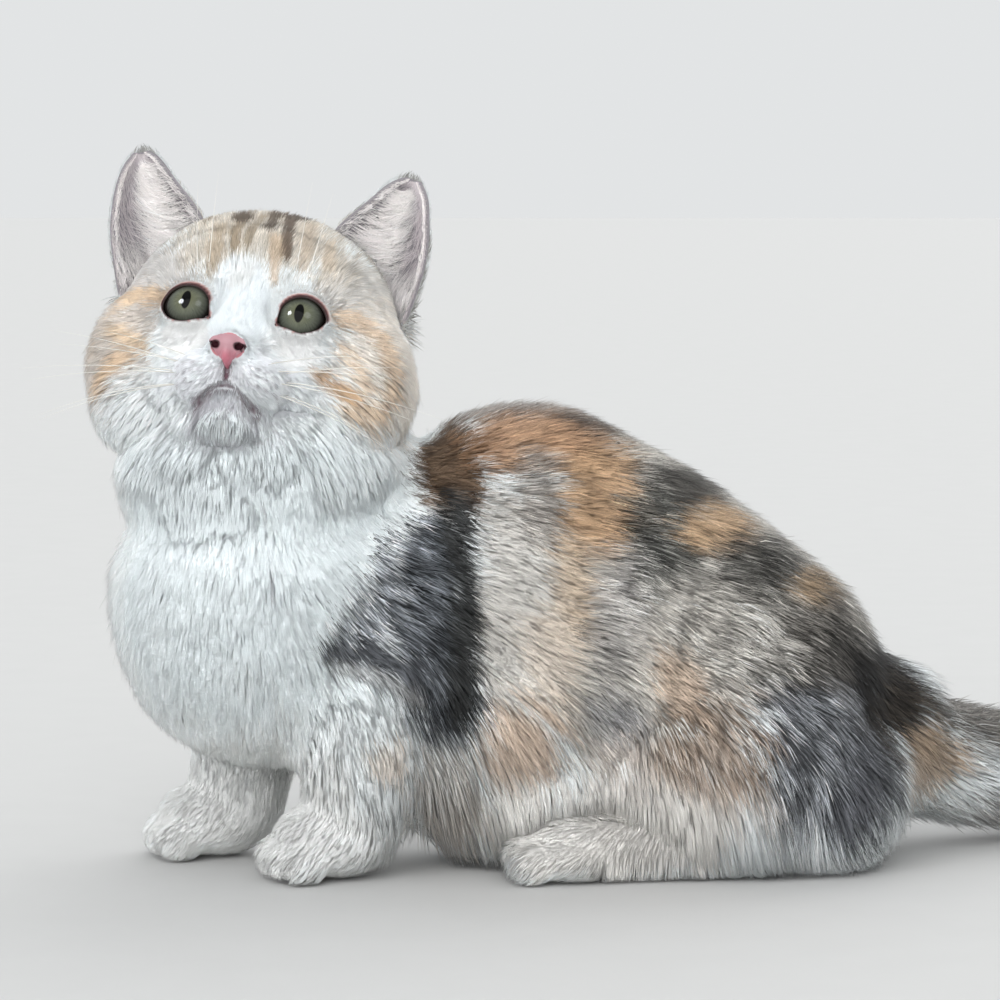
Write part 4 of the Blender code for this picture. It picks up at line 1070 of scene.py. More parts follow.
@dataclass
class Markings:
    """The colours of the coat, as named patches that are laid over one another; some of them are painted shade."""

    ground: str = "ECF1F2"
    body: dict = field(
        default_factory=lambda: {
            # painted shade: a greyer tint laid over the white of the chest
            "bib": Marking((-0.088, -0.060, 0.112), (0.062, 0.032, 0.062), "DDE4E6", 0.6, 0, 1, 0.04),
            "socks": Marking((-0.078, -0.020, 0.018), (0.060, 0.060, 0.036), "DFDFDD", 0.6, 0, 0.9, 0.04),
            "saddle": Marking((0.062, 0.006, 0.092), (0.078, 0.075, 0.085), "B4B0A9", 0.14, 22, 1, 0.35),
            "far_saddle": Marking((0.050, 0.062, 0.100), (0.074, 0.03, 0.046), "7D7770", 0.5, 0, 0.8, 0.7),
            "far_orange": Marking((0.002, 0.058, 0.104), (0.030, 0.03, 0.046), "A78B70", 0.4, 0, 0.85, 0.3),
            "far_black": Marking((0.064, 0.050, 0.105), (0.022, 0.04, 0.030), "4B4B4D", 0.5, 0, 0.9, 0.7),
            "far_cream": Marking((0.034, 0.056, 0.088), (0.012, 0.03, 0.040), "C4B7A4", 0.5, 0, 0.8, 0.3),
            "cream_band": Marking((0.0065, -0.047, 0.090), (0.0150, 0.030, 0.052), "D2CEC8", 0.45, 0, 0.95, 0.15),
            "back_orange": Marking((0.012, -0.020, 0.150), (0.030, 0.026, 0.013), "AD8A6C", 0.4, 0, 0.95, 0.4),
            "grey_patch": Marking((0.0150, -0.042, 0.1315), (0.0110, 0.02, 0.0155), "99938D", 0.6, 0, 0.9, 0.8),
            "orange_band": Marking((0.0375, -0.040, 0.133), (0.0145, 0.03, 0.022), "BC9C7C", 0.45, -8, 0.95, 0.35),
            "orange_low": Marking((0.0260, -0.048, 0.096), (0.0090, 0.03, 0.018), "C9B49C", 0.7, 0, 0.8, 0.3),
            "pink_flank": Marking((0.0178, -0.050, 0.078), (0.010, 0.02, 0.021), "DDD0C2", 0.7, 0, 0.8, 0.15),
            "spine_brown": Marking((0.006, 0.002, 0.162), (0.050, 0.016, 0.008), "6A5646", 0.5, 0, 0.75, 0.6),
            "spine_black": Marking((0.038, -0.004, 0.157), (0.016, 0.016, 0.0055), "3F352E", 0.8, 0, 0.8, 0.5),
            "nape_brown": Marking((-0.016, -0.024, 0.142), (0.0125, 0.034, 0.022), "5C4C3E", 0.4, 0, 1, 0.6),
            "nape_orange": Marking((-0.008, -0.030, 0.149), (0.008, 0.03, 0.008), "8A6A50", 0.7, 0, 0.8, 0.4),
            "loin_black": Marking((0.057, -0.036, 0.124), (0.0150, 0.036, 0.0225), "484845", 0.5, 0, 0.95, 1.5),
            "loin_tongue": Marking((0.0505, -0.046, 0.104), (0.0075, 0.03, 0.015), "565653", 0.7, 0, 0.8, 1.5),
            "loin_top": Marking((0.070, -0.010, 0.136), (0.0165, 0.03, 0.008), "403E3B", 0.5, 0, 0.9, 0.6),
            "loin_orange": Marking((0.0785, -0.025, 0.1200), (0.0145, 0.03, 0.0075), "B4997C", 0.6, 14, 0.95, 0.4),
            "croup_black": Marking((0.096, -0.026, 0.105), (0.022, 0.034, 0.0135), "464542", 0.5, 14, 0.95, 1.5),
            "croup_tan": Marking((0.112, -0.018, 0.0975), (0.0125, 0.026, 0.0068), "9C866C", 0.5, 14, 0.9, 0.5),
            "silver": Marking((0.0400, -0.050, 0.090), (0.010, 0.020, 0.024), "9E9B98", 0.6, 0, 0.85, 0.8),
            "grey_low": Marking((0.0410, -0.050, 0.0560), (0.0110, 0.020, 0.0115), "7A7A7C", 0.7, 0, 0.85, 0.7),
            "flank_pale": Marking((0.065, -0.050, 0.077), (0.018, 0.020, 0.024), "B6B1AA", 0.5, 0, 0.85, 0.7),
            "flank_pink": Marking((0.062, -0.052, 0.069), (0.008, 0.020, 0.012), "BFA893", 0.7, 0, 0.75, 0.3),
            "haunch": Marking((0.113, -0.036, 0.047), (0.030, 0.055, 0.040), "5E6064", 0.45, 0, 0.97, 1.5),
            "haunch_up": Marking((0.113, -0.032, 0.082), (0.025, 0.050, 0.016), "4A4743", 0.5, 10, 0.9, 1.3),
            "haunch_pale": Marking((0.086, -0.045, 0.082), (0.018, 0.03, 0.012), "A5A29C", 0.7, 0, 0.7, 1.0),
            "seat_black": Marking((0.128, -0.030, 0.030), (0.0125, 0.040, 0.020), "424347", 0.5, 0, 0.85, 0.8),
            "rump_black": Marking((0.141, -0.010, 0.062), (0.0175, 0.036, 0.021), "1D1B1A", 0.45, 0, 1, 0.3),
            "low_pink": Marking((0.009, -0.048, 0.044), (0.015, 0.020, 0.017), "C9B29E", 0.7, 0, 0.85, 0.2),
            "thigh_white": Marking((0.056, -0.050, 0.026), (0.030, 0.040, 0.023), "D0C6BE", 0.6, 0, 0.85, 0.25),
            "low_blush": Marking((0.074, -0.054, 0.046), (0.017, 0.020, 0.016), "9A8777", 0.7, 0, 0.85, 0.5),
            "belly_white": Marking((0.030, -0.050, 0.016), (0.048, 0.040, 0.016), "E2DFDA", 0.5, 0, 0.9, 0.15),
            # painted shade: the underside of the belly fringe behind the near foreleg laid grey-brown
            "fringe": Marking((-0.020, -0.044, 0.020), (0.014, 0.030, 0.022), "A89D93", 0.7, 0, 0.7, 0.8),
            "belly_far": Marking((0.010, 0.050, 0.020), (0.090, 0.040, 0.026), "E2DED7", 0.5, 0, 0.9, 0.15),
            "shoulder_tongue": Stripe(
                ((-0.030, -0.052, 0.108), (-0.040, -0.055, 0.096), (-0.045, -0.056, 0.086)),
                0.0115,
                "66696D",
                1,
                0.8,
                1.6,
                0.3,
            ),
            "shoulder_grey": Stripe(
                ((-0.022, -0.048, 0.113), (-0.023, -0.050, 0.110), (-0.0255, -0.05, 0.088), (-0.018, -0.05, 0.060)),
                0.0130,
                "4C4F53",
                1,
                0.6,
                1.5,
                0.3,
            ),
            "shoulder_wisp": Stripe(
                ((-0.058, -0.058, 0.0815), (-0.044, -0.056, 0.0800), (-0.030, -0.052, 0.0740)), 0.0036, "4E5054", 0.9, 0.7, 0.6, 0.3
            ),
            "shoulder_low_wisp": Stripe(
                ((-0.056, -0.058, 0.0750), (-0.042, -0.056, 0.0725), (-0.028, -0.052, 0.0640)), 0.0024, "8C8C8C", 0.7, 0.8, 0.5, 0.3
            ),
            # painted shade: a near-black band along the fold behind the shoulder
            "shoulder_fold_painted_shade": Stripe(
                (
                    (-0.0155, -0.044, 0.131),
                    (-0.0140, -0.046, 0.120),
                    (-0.0110, -0.048, 0.098),
                    (-0.0115, -0.050, 0.078),
                    (-0.0135, -0.050, 0.056),
                ),
                0.0048,
                "333434",
                1,
                0.9,
                0.7,
                0.3,
            ),
            # painted shade: a thin grey line where the chest fur parts
            "chest_parting_painted_shade": Stripe(
                ((-0.0800, -0.066, 0.131), (-0.0775, -0.068, 0.118), (-0.0770, -0.068, 0.101)),
                0.0009,
                "96969A",
                0.7,
                0.7,
                0.1,
                0.2,
            ),
            "shoulder_far": Marking((-0.078, 0.052, 0.112), (0.026, 0.030, 0.032), "5E6064", 0.4, 0, 0.9, 0.9),
            "leg_spot": Marking((-0.037, -0.060, 0.041), (0.008, 0.020, 0.008), "DCCBBA", 0.8, 0, 0.6, 0.1),
            "tail_dark": Marking((0.215, 0.062, 0.046), (0.098, 0.070, 0.024), "585149", 0.5, 22, 0.9, 0.8),
            "tail_grey": Marking((0.230, 0.060, 0.010), (0.078, 0.060, 0.022), "938D89", 0.5, 22, 0.8, 0.6),
            "tail_cream": Marking((0.158, -0.002, 0.032), (0.016, 0.026, 0.014), "AD9883", 0.5, 0, 0.9, 0.4),
            "tail_end": Marking((0.294, 0.110, 0.016), (0.026, 0.030, 0.04), "4A4744", 0.4, 0, 0.9, 0.6),
        }
    )
    head: dict = field(
        default_factory=lambda: {
            "cap": Marking((-0.028, 0.000, 0.032), (0.044, 0.060, 0.038), "A39887", 0.3, 0, 0.9, 0.6),
            "nape": Marking((-0.050, 0.000, -0.010), (0.030, 0.052, 0.034), "8F8577", 0.4, 0, 0.8, 0.6),
            "temple_left": Marking((0.010, 0.036, 0.020), (0.022, 0.020, 0.018), "CDC9C4", 0.4, 0, 0.9, 0.15),
            "temple_right": Marking((0.010, -0.036, 0.018), (0.022, 0.020, 0.016), "CAC6C3", 0.4, 0, 0.9, 0.15),
            "forehead": Marking((0.016, 0.000, 0.038), (0.026, 0.034, 0.020), "BDB5A9", 0.6, 0, 0.95, 0.35),
            "cheek_left": Marking((0.000, 0.048, -0.006), (0.030, 0.022, 0.023), "EBE1D6", 0.5, 0, 0.9, 0.15),
            "cheek_right": Marking((0.002, -0.047, -0.005), (0.028, 0.023, 0.022), "CDC2B8", 0.5, 0, 0.9, 0.15),
            "swirl": Stripe(
                (
                    (0.0229, 0.0336, 0.0086),
                    (0.0182, 0.0382, 0.0097),
                    (0.0139, 0.0463, 0.0067),
                    (0.0126, 0.0515, -0.0036),
                    (0.0094, 0.0533, -0.0133),
                    (0.0129, 0.0494, -0.0225),
                    (0.0200, 0.0410, -0.0235),
                ),
                0.0036,
                "DCC1A4",
                0.8,
                1.1,
            ),
            "swirl_inner": Stripe(
                (
                    (0.0262, 0.0255, -0.0132),
                    (0.0235, 0.0302, -0.0146),
                    (0.0226, 0.0345, -0.0160),
                    (0.0205, 0.0405, -0.0185),
                ),
                0.0028,
                "CFAC88",
                0.9,
                0.9,
            ),
            "swirl_middle": Stripe(((0.0222, 0.0358, -0.0035), (0.0192, 0.0420, -0.0080), (0.0180, 0.0440, -0.0145)), 0.0026, "DEC6AC", 0.8, 1.0),
            "eye_band": Stripe(((0.0245, -0.0309, 0.0096), (0.0140, -0.0417, 0.0123), (0.0000, -0.0490, 0.0110)), 0.0034, "D2B798", 0.85, 1.0),
            "eye_band_low": Stripe(((0.0140, -0.0417, 0.0110), (0.0090, -0.0480, 0.0020), (0.0060, -0.0510, -0.0080)), 0.0032, "DEC6AA", 0.8, 1.0),
            "cheek_stripe": Stripe(((0.0227, -0.0330, -0.0100), (0.0188, -0.0430, -0.0050), (0.0060, -0.0500, 0.0000)), 0.0027, "DBC2A4", 0.85, 1.0),
            "low_stripe": Stripe(((0.0205, -0.0400, -0.0125), (0.0179, -0.0449, -0.0150), (0.0120, -0.0500, -0.0215)), 0.0031, "D9BD9E", 0.85, 1.0),
            "streak_right": Stripe(((0.0180, -0.0150, 0.0385), (0.0253, -0.0141, 0.0308), (0.0290, -0.0125, 0.0215)), 0.0027, "B3A490", 0.85, 1.0),
            "streak_middle": Stripe(((0.0130, -0.0080, 0.0450), (0.0234, -0.0085, 0.0365), (0.0290, -0.0075, 0.0290)), 0.0021, "998A76", 0.9, 0.9),
            "streak_centre": Stripe(((0.0120, -0.0020, 0.0480), (0.0240, -0.0030, 0.0380), (0.0285, -0.0030, 0.0300)), 0.0017, "978B7A", 0.9),
            "dark_streak": Stripe(
                ((0.0040, 0.0070, 0.0510), (0.0175, 0.0084, 0.0423), (0.0256, 0.0102, 0.0337), (0.0285, 0.0106, 0.0285)),
                0.0021,
                "63564B",
                0.95,
                0.8,
            ),
            "orange_streak": Stripe(((0.0262, 0.0060, 0.0345), (0.0304, 0.0079, 0.0235), (0.0307, 0.0086, 0.0172)), 0.0018, "C2AE97", 0.8, 1.0),
            "streak_left": Stripe(((0.0100, 0.0150, 0.0455), (0.0208, 0.0161, 0.0359), (0.0270, 0.0172, 0.0251)), 0.0021, "BBAD9C", 0.85, 1.0),
            "streak_far_left": Stripe(((0.0060, 0.0230, 0.0420), (0.0157, 0.0234, 0.0371), (0.0215, 0.0250, 0.0280)), 0.0020, "C2B4A2", 0.8),
            "crown_line": Stripe(((0.0220, 0.0025, 0.0395), (0.0120, 0.0020, 0.0490), (-0.0300, 0.000, 0.048)), 0.0024, "5E5245", 0.95),
            "crown_right": Stripe(((0.0140, -0.0090, 0.0445), (-0.0100, -0.0110, 0.0540), (-0.045, -0.012, 0.030)), 0.0032, "554A3F", 0.95),
            "crown_left": Stripe(((0.0060, 0.0100, 0.0490), (-0.0100, 0.0120, 0.0540), (-0.045, 0.013, 0.030)), 0.0030, "50463C", 0.95),
            "crown_far_right": Stripe(((0.0080, -0.0200, 0.0430), (-0.0160, -0.0240, 0.0480), (-0.045, -0.026, 0.02)), 0.003, "7A6B58"),
            "crown_far_left": Stripe(((0.0020, 0.0210, 0.0440), (-0.0160, 0.0250, 0.0480), (-0.045, 0.027, 0.02)), 0.003, "7A6B58"),
            # painted shade: the muzzle below the nose laid greyer than the white round it
            "muzzle": Marking((0.036, 0.000, -0.021), (0.024, 0.0250, 0.017), "E6E8EC", 0.6, 0, 1, 0.04),
            "under_eye_left": Marking((0.031, 0.020, -0.006), (0.010, 0.010, 0.008), "F0F0EF", 0.5, 0, 0.9, 0.05),
            "under_eye_right": Marking((0.031, -0.020, -0.007), (0.010, 0.010, 0.008), "F0F0EF", 0.5, 0, 0.9, 0.05),
            "blaze": Stripe(((0.0500, 0.0000, -0.0120), (0.0375, -0.0010, 0.0060)), 0.0120, "E6ECEF", 1, 0.25, 0.04),
            "blaze_middle": Stripe(((0.0375, -0.0010, 0.0060), (0.0325, -0.0030, 0.0160)), 0.0085, "E6ECEF", 1, 0.35, 0.04),
            "blaze_high": Stripe(((0.0325, -0.0030, 0.0160), (0.0312, -0.0018, 0.0195)), 0.0043, "E4E6E5", 0.9, 0.6, 0.05),
            "chin_shade": Marking((0.034, 0.000, -0.0390), (0.015, 0.0140, 0.0090), "B9B8BE", 0.9, 0, 0.8, 0.25),
            "ear_left_back": Marking((-0.020, 0.046, 0.048), (0.0125, 0.020, 0.032), "6B655F", 0.3, 0, 0.9, 0.5),
            "ear_right_back": Marking((-0.020, -0.046, 0.048), (0.0125, 0.020, 0.032), "6B655F", 0.3, 0, 0.9, 0.5),
            "ear_left_tip": Marking((-0.006, 0.046, 0.076), (0.012, 0.008, 0.0040), "7E766E", 0.6, 0, 0.7, 0.3),
            "ear_right_tip": Marking((-0.006, -0.052, 0.076), (0.012, 0.008, 0.0040), "7E766E", 0.6, 0, 0.7, 0.3),
        }
    )
    dots: tuple = tuple((0.0088 + 0.0027 * k, -0.0212 - 0.0027 * row - 0.0004 * k) for row in range(3) for k in range(4))

    def colour(self, points: np.ndarray, lies: np.ndarray, jitter: np.ndarray) -> tuple:
        """The coat's colour at some points.

        Args:
            points: places in the model's frame.
            lies: the lie of the coat there.
            jitter: a random value from -1 to 1 for each, that breaks the edges up.

        Returns:
            Linear colours, and how strongly single hairs vary there.
        """
        colours = np.tile(linear(self.ground), (len(points), 1))
        ticking = np.full(len(points), 0.05)
        drawn = points - lies * (points * lies).sum(1, keepdims=True) * 0.75
        broken = lattice_noise(drawn, 0.0040, 3) * 0.45 + lattice_noise(drawn, 0.0095, 4) * 0.4
        broken += lattice_noise(points, 0.016, 5) * 0.45
        local = points - np.array(MID_BACK)
        for marking in self.body.values():
            self.lay(marking, local, broken, jitter, colours, ticking)
        inner = HEAD_SPACE.inwards(points)
        ball = np.linalg.norm((inner - (-0.006, 0, 0.006)) / (0.064, 0.068, 0.062), axis=1)
        head = np.flatnonzero((ball < 1.0) | (inner[:, 2] > 0.045))
        faces, streaks = colours[head], ticking[head]
        white = np.tile(linear(self.ground), (len(head), 1))
        faces = faces + (white - faces) * smooth_step(ball[head] + 0.05 * broken[head], 1.0, 0.86)[:, None]
        for marking in self.head.values():
            self.lay(marking, inner[head], broken[head], jitter[head], faces, streaks)
        for y, z in self.dots:
            for side in Side:
                off = np.hypot(inner[head, 1] - y * side.value, inner[head, 2] - z) / 0.00070
                share = smooth_step(off, 1.3, 0.5) * 0.45 * (inner[head, 0] > 0.028)
                faces += (linear("968E96") - faces) * share[:, None]
        colours[head], ticking[head] = faces, streaks
        return colours, ticking

    @staticmethod
    def lay(
        marking: Marking | Stripe,
        points: np.ndarray,
        broken: np.ndarray,
        jitter: np.ndarray,
        colours: np.ndarray,
        ticking: np.ndarray,
    ) -> None:
        """Lays one patch or stripe over the colours so far."""
        if isinstance(marking, Stripe):
            q = marking.distance(points)
        else:
            turn = math.radians(marking.turn)
            off = points - np.array(marking.place)
            x = off[:, 0] * math.cos(turn) + off[:, 1] * math.sin(turn)
            y = off[:, 1] * math.cos(turn) - off[:, 0] * math.sin(turn)
            q = np.sqrt((np.stack([x, y, off[:, 2]], 1) ** 2 / np.array(marking.radii) ** 2).sum(1))
        q = q + marking.edge * (broken * 0.9 + jitter * 0.4)
        share = smooth_step(q, 1 + marking.edge * 0.6, 1 - marking.edge * 0.6) * marking.strength
        colours += (linear(marking.colour) - colours) * share[:, None]
        ticking += (marking.ticking - ticking) * share


@dataclass(frozen=True)
class FurFinish:
    """Cat fur: keratin hairs, soft and slightly glossy, that scatter light along them."""

    name: str = "cat_fur_keratin_soft"
    roughness: float = 0.75
    glow: float = 3.0

    def material(self) -> bpy.types.Material:
        """The fur, coloured tuft by tuft."""
        material, tree, shader = new_material(self.name)
        colour = add_node(tree, "ShaderNodeVertexColor", {"layer_name": COAT_COLOUR}, {})
        tree.links.new(colour.outputs["Color"], shader.inputs["Base Color"])
        shader.inputs["Roughness"].default_value = self.roughness
        shader.inputs["Specular IOR Level"].default_value = 0.06
        shader.inputs["Sheen Weight"].default_value = 0.15
        shader.inputs["Sheen Roughness"].default_value = 0.5
        shader.subsurface_method = "BURLEY"
        shader.inputs["Subsurface Weight"].default_value = 0.95
        shader.inputs["Subsurface Radius"].default_value = (1.0, 1.0, 1.0)
        shader.inputs["Subsurface Scale"].default_value = self.glow * MM
        return material


@dataclass(frozen=True)
class SkinFinish:
    """Cat skin under short flat fur: the bump gives the nap of the hairs that lie flat."""

    name: str = "cat_skin_short_nap"
    nap: float = 0.0007

    def material(self) -> bpy.types.Material:
        """The skin, with the coat's own markings and a fine nap."""
        material, tree, shader = new_material(self.name)
        place = add_node(tree, "ShaderNodeTexCoord", {}, {})
        colour = add_node(tree, "ShaderNodeVertexColor", {"layer_name": COAT_COLOUR}, {})
        noise = add_node(
            tree,
            "ShaderNodeTexNoise",
            {},
            {"Vector": place.outputs["Object"], "Scale": 0.6 / self.nap, "Detail": 5.0, "Roughness": 0.65},
        )
        bump = add_node(
            tree,
            "ShaderNodeBump",
            {},
            {"Height": noise.outputs["Fac"], "Distance": 0.0006, "Strength": 0.6},
        )
        tree.links.new(colour.outputs["Color"], shader.inputs["Base Color"])
        tree.links.new(bump.outputs["Normal"], shader.inputs["Normal"])
        shader.inputs["Roughness"].default_value = 0.75
        shader.inputs["Specular IOR Level"].default_value = 0.2
        return material


@dataclass(frozen=True)
class LeatherFinish:
    """Bare moist skin, as on the nose: finely pebbled, with a soft gloss."""

    name: str
    colour: str
    deep: str
    roughness: float = 0.38
    pebble: float = 0.00045

    def material(self) -> bpy.types.Material:
        """The leather, a little uneven in colour."""
        material, tree, shader = new_material(self.name)
        place = add_node(tree, "ShaderNodeTexCoord", {}, {})
        cells = add_node(
            tree,
            "ShaderNodeTexVoronoi",
            {},
            {"Vector": place.outputs["Object"], "Scale": 1 / self.pebble},
        )
        clouds = add_node(
            tree, "ShaderNodeTexNoise", {}, {"Vector": place.outputs["Object"], "Scale": 420.0, "Detail": 3.0}
        )
        mottle = add_node(
            tree,
            "ShaderNodeMix",
            {"data_type": "RGBA"},
            {0: clouds.outputs["Fac"], 6: (*linear(self.colour), 1), 7: (*linear(self.deep), 1)},
        )
        painted = add_node(tree, "ShaderNodeVertexColor", {"layer_name": COAT_COLOUR}, {})
        blend = add_node(
            tree,
            "ShaderNodeMix",
            {"data_type": "RGBA", "blend_type": "MULTIPLY"},
            {0: 1.0, 6: mottle.outputs[2], 7: painted.outputs["Color"]},
        )
        bump = add_node(
            tree, "ShaderNodeBump", {}, {"Height": cells.outputs["Distance"], "Distance": 0.0002, "Strength": 0.5}
        )
        tree.links.new(blend.outputs[2], shader.inputs["Base Color"])
        tree.links.new(bump.outputs["Normal"], shader.inputs["Normal"])
        shader.inputs["Roughness"].default_value = self.roughness
        shader.inputs["Coat Weight"].default_value = 0.12
        shader.inputs["Coat Roughness"].default_value = 0.3
        return material


@dataclass(frozen=True)
class EyeFinish:
    """A living eye: a wet clear cornea over a grey-green iris with fine fibres and a slit pupil."""

    name: str = "wet_cornea_over_iris"
    iris: float = 0.0086
    pupil: tuple = (0.00160, 0.0034)

    def material(self, side: Side, frame_matrix: Matrix) -> bpy.types.Material:
        """The eye's finish, centred on where it looks.

        Args:
            side: which eye.
            frame_matrix: the frame in which the eye looks along x.

        Returns:
            The material.
        """
        material, tree, shader = new_material(f"{self.name}_{side.name.lower()}")
        place = add_node(tree, "ShaderNodeTexCoord", {}, {})
        rotation = frame_matrix.to_euler()
        local = add_node(
            tree,
            "ShaderNodeMapping",
            {"vector_type": "TEXTURE"},
            {
                "Vector": place.outputs["Object"],
                "Location": frame_matrix.translation,
                "Rotation": rotation,
            },
        )
        axes = add_node(tree, "ShaderNodeSeparateXYZ", {}, {0: local.outputs["Vector"]})
        across, up = axes.outputs["Y"], axes.outputs["Z"]
        squares = [
            add_node(tree, "ShaderNodeMath", {"operation": "MULTIPLY"}, {0: axis, 1: axis}).outputs[0]
            for axis in (across, up)
        ]
        total = add_node(tree, "ShaderNodeMath", {"operation": "ADD"}, {0: squares[0], 1: squares[1]})
        radius = add_node(tree, "ShaderNodeMath", {"operation": "SQRT"}, {0: total.outputs[0]})
        reach = add_node(tree, "ShaderNodeMath", {"operation": "DIVIDE"}, {0: radius.outputs[0], 1: self.iris})
        turn = add_node(tree, "ShaderNodeMath", {"operation": "ARCTAN2"}, {0: up, 1: across})
        spokes = add_node(
            tree,
            "ShaderNodeCombineXYZ",
            {},
            {"X": turn.outputs[0], "Y": reach.outputs[0]},
        )
        stretch = add_node(
            tree, "ShaderNodeMapping", {}, {"Vector": spokes.outputs[0], "Scale": (16.0, 2.0, 1.0)}
        )
        fibres = add_node(
            tree,
            "ShaderNodeTexNoise",
            {},
            {"Vector": stretch.outputs[0], "Scale": 1.6, "Detail": 6.0, "Roughness": 0.7},
        )
        rings = add_node(tree, "ShaderNodeValToRGB", {}, {0: reach.outputs[0]})
        stops = rings.color_ramp.elements
        stops[0].position, stops[0].color = 0.10, (*linear("5F6048"), 1)
        stops[1].position, stops[1].color = 1.0, (*linear("0A0807"), 1)
        for position, colour in ((0.36, "696C59"), (0.60, "5E6256"), (0.77, "474A42"), (0.88, "1D1B18")):
            stop = stops.new(position)
            stop.color = (*linear(colour), 1)
        shade = add_node(
            tree,
            "ShaderNodeMapRange",
            {},
            {"Value": fibres.outputs["Fac"], "From Min": 0.25, "From Max": 0.75, "To Min": 0.50, "To Max": 1.45},
        )
        lid_shade = add_node(
            tree,
            "ShaderNodeMapRange",
            {"interpolation_type": "SMOOTHSTEP"},
            {"Value": up, "From Min": 0.0020, "From Max": 0.0062, "To Min": 1.0, "To Max": 0.42},
        )
        total_shade = add_node(
            tree, "ShaderNodeMath", {"operation": "MULTIPLY"}, {0: shade.outputs[0], 1: lid_shade.outputs[0]}
        )
        iris = add_node(
            tree,
            "ShaderNodeVectorMath",
            {"operation": "SCALE"},
            {0: rings.outputs[0], "Scale": total_shade.outputs[0]},
        )
        slits = [
            add_node(tree, "ShaderNodeMath", {"operation": "DIVIDE"}, {0: axis, 1: size}).outputs[0]
            for axis, size in zip((across, up), self.pupil)
        ]
        slit_squares = [
            add_node(tree, "ShaderNodeMath", {"operation": "MULTIPLY"}, {0: s, 1: s}).outputs[0] for s in slits
        ]
        slit = add_node(tree, "ShaderNodeMath", {"operation": "ADD"}, {0: slit_squares[0], 1: slit_squares[1]})
        dark = add_node(
            tree,
            "ShaderNodeMapRange",
            {"interpolation_type": "SMOOTHSTEP"},
            {"Value": slit.outputs[0], "From Min": 1.25, "From Max": 0.85, "To Min": 0.0, "To Max": 1.0},
        )
        blend = add_node(
            tree,
            "ShaderNodeMix",
            {"data_type": "RGBA"},
            {0: dark.outputs[0], 6: iris.outputs[0], 7: (*linear("060606"), 1)},
        )
        tree.links.new(blend.outputs[2], shader.inputs["Base Color"])
        shader.inputs["Roughness"].default_value = 0.6
        shader.inputs["Specular IOR Level"].default_value = 0.0
        shader.inputs["Coat Weight"].default_value = 1.0
        shader.inputs["Coat Roughness"].default_value = 0.02
        shader.inputs["Coat IOR"].default_value = 1.20
        return material


@dataclass(frozen=True)
class HornFinish:
    """Whiskers: smooth keratin, translucent and pale."""

    name: str
    colour: str
    roughness: float = 0.3

    def material(self) -> bpy.types.Material:
        """The keratin, clouded along its length."""
        material, tree, shader = new_material(self.name)
        place = add_node(tree, "ShaderNodeTexCoord", {}, {})
        clouds = add_node(
            tree, "ShaderNodeTexNoise", {}, {"Vector": place.outputs["Object"], "Scale": 300.0, "Detail": 2.0}
        )
        pale, deep = linear(self.colour), linear(self.colour) * 0.8
        blend = add_node(
            tree, "ShaderNodeMix", {"data_type": "RGBA"}, {0: clouds.outputs["Fac"], 6: (*pale, 1), 7: (*deep, 1)}
        )
        tree.links.new(blend.outputs[2], shader.inputs["Base Color"])
        shader.inputs["Roughness"].default_value = self.roughness
        return material


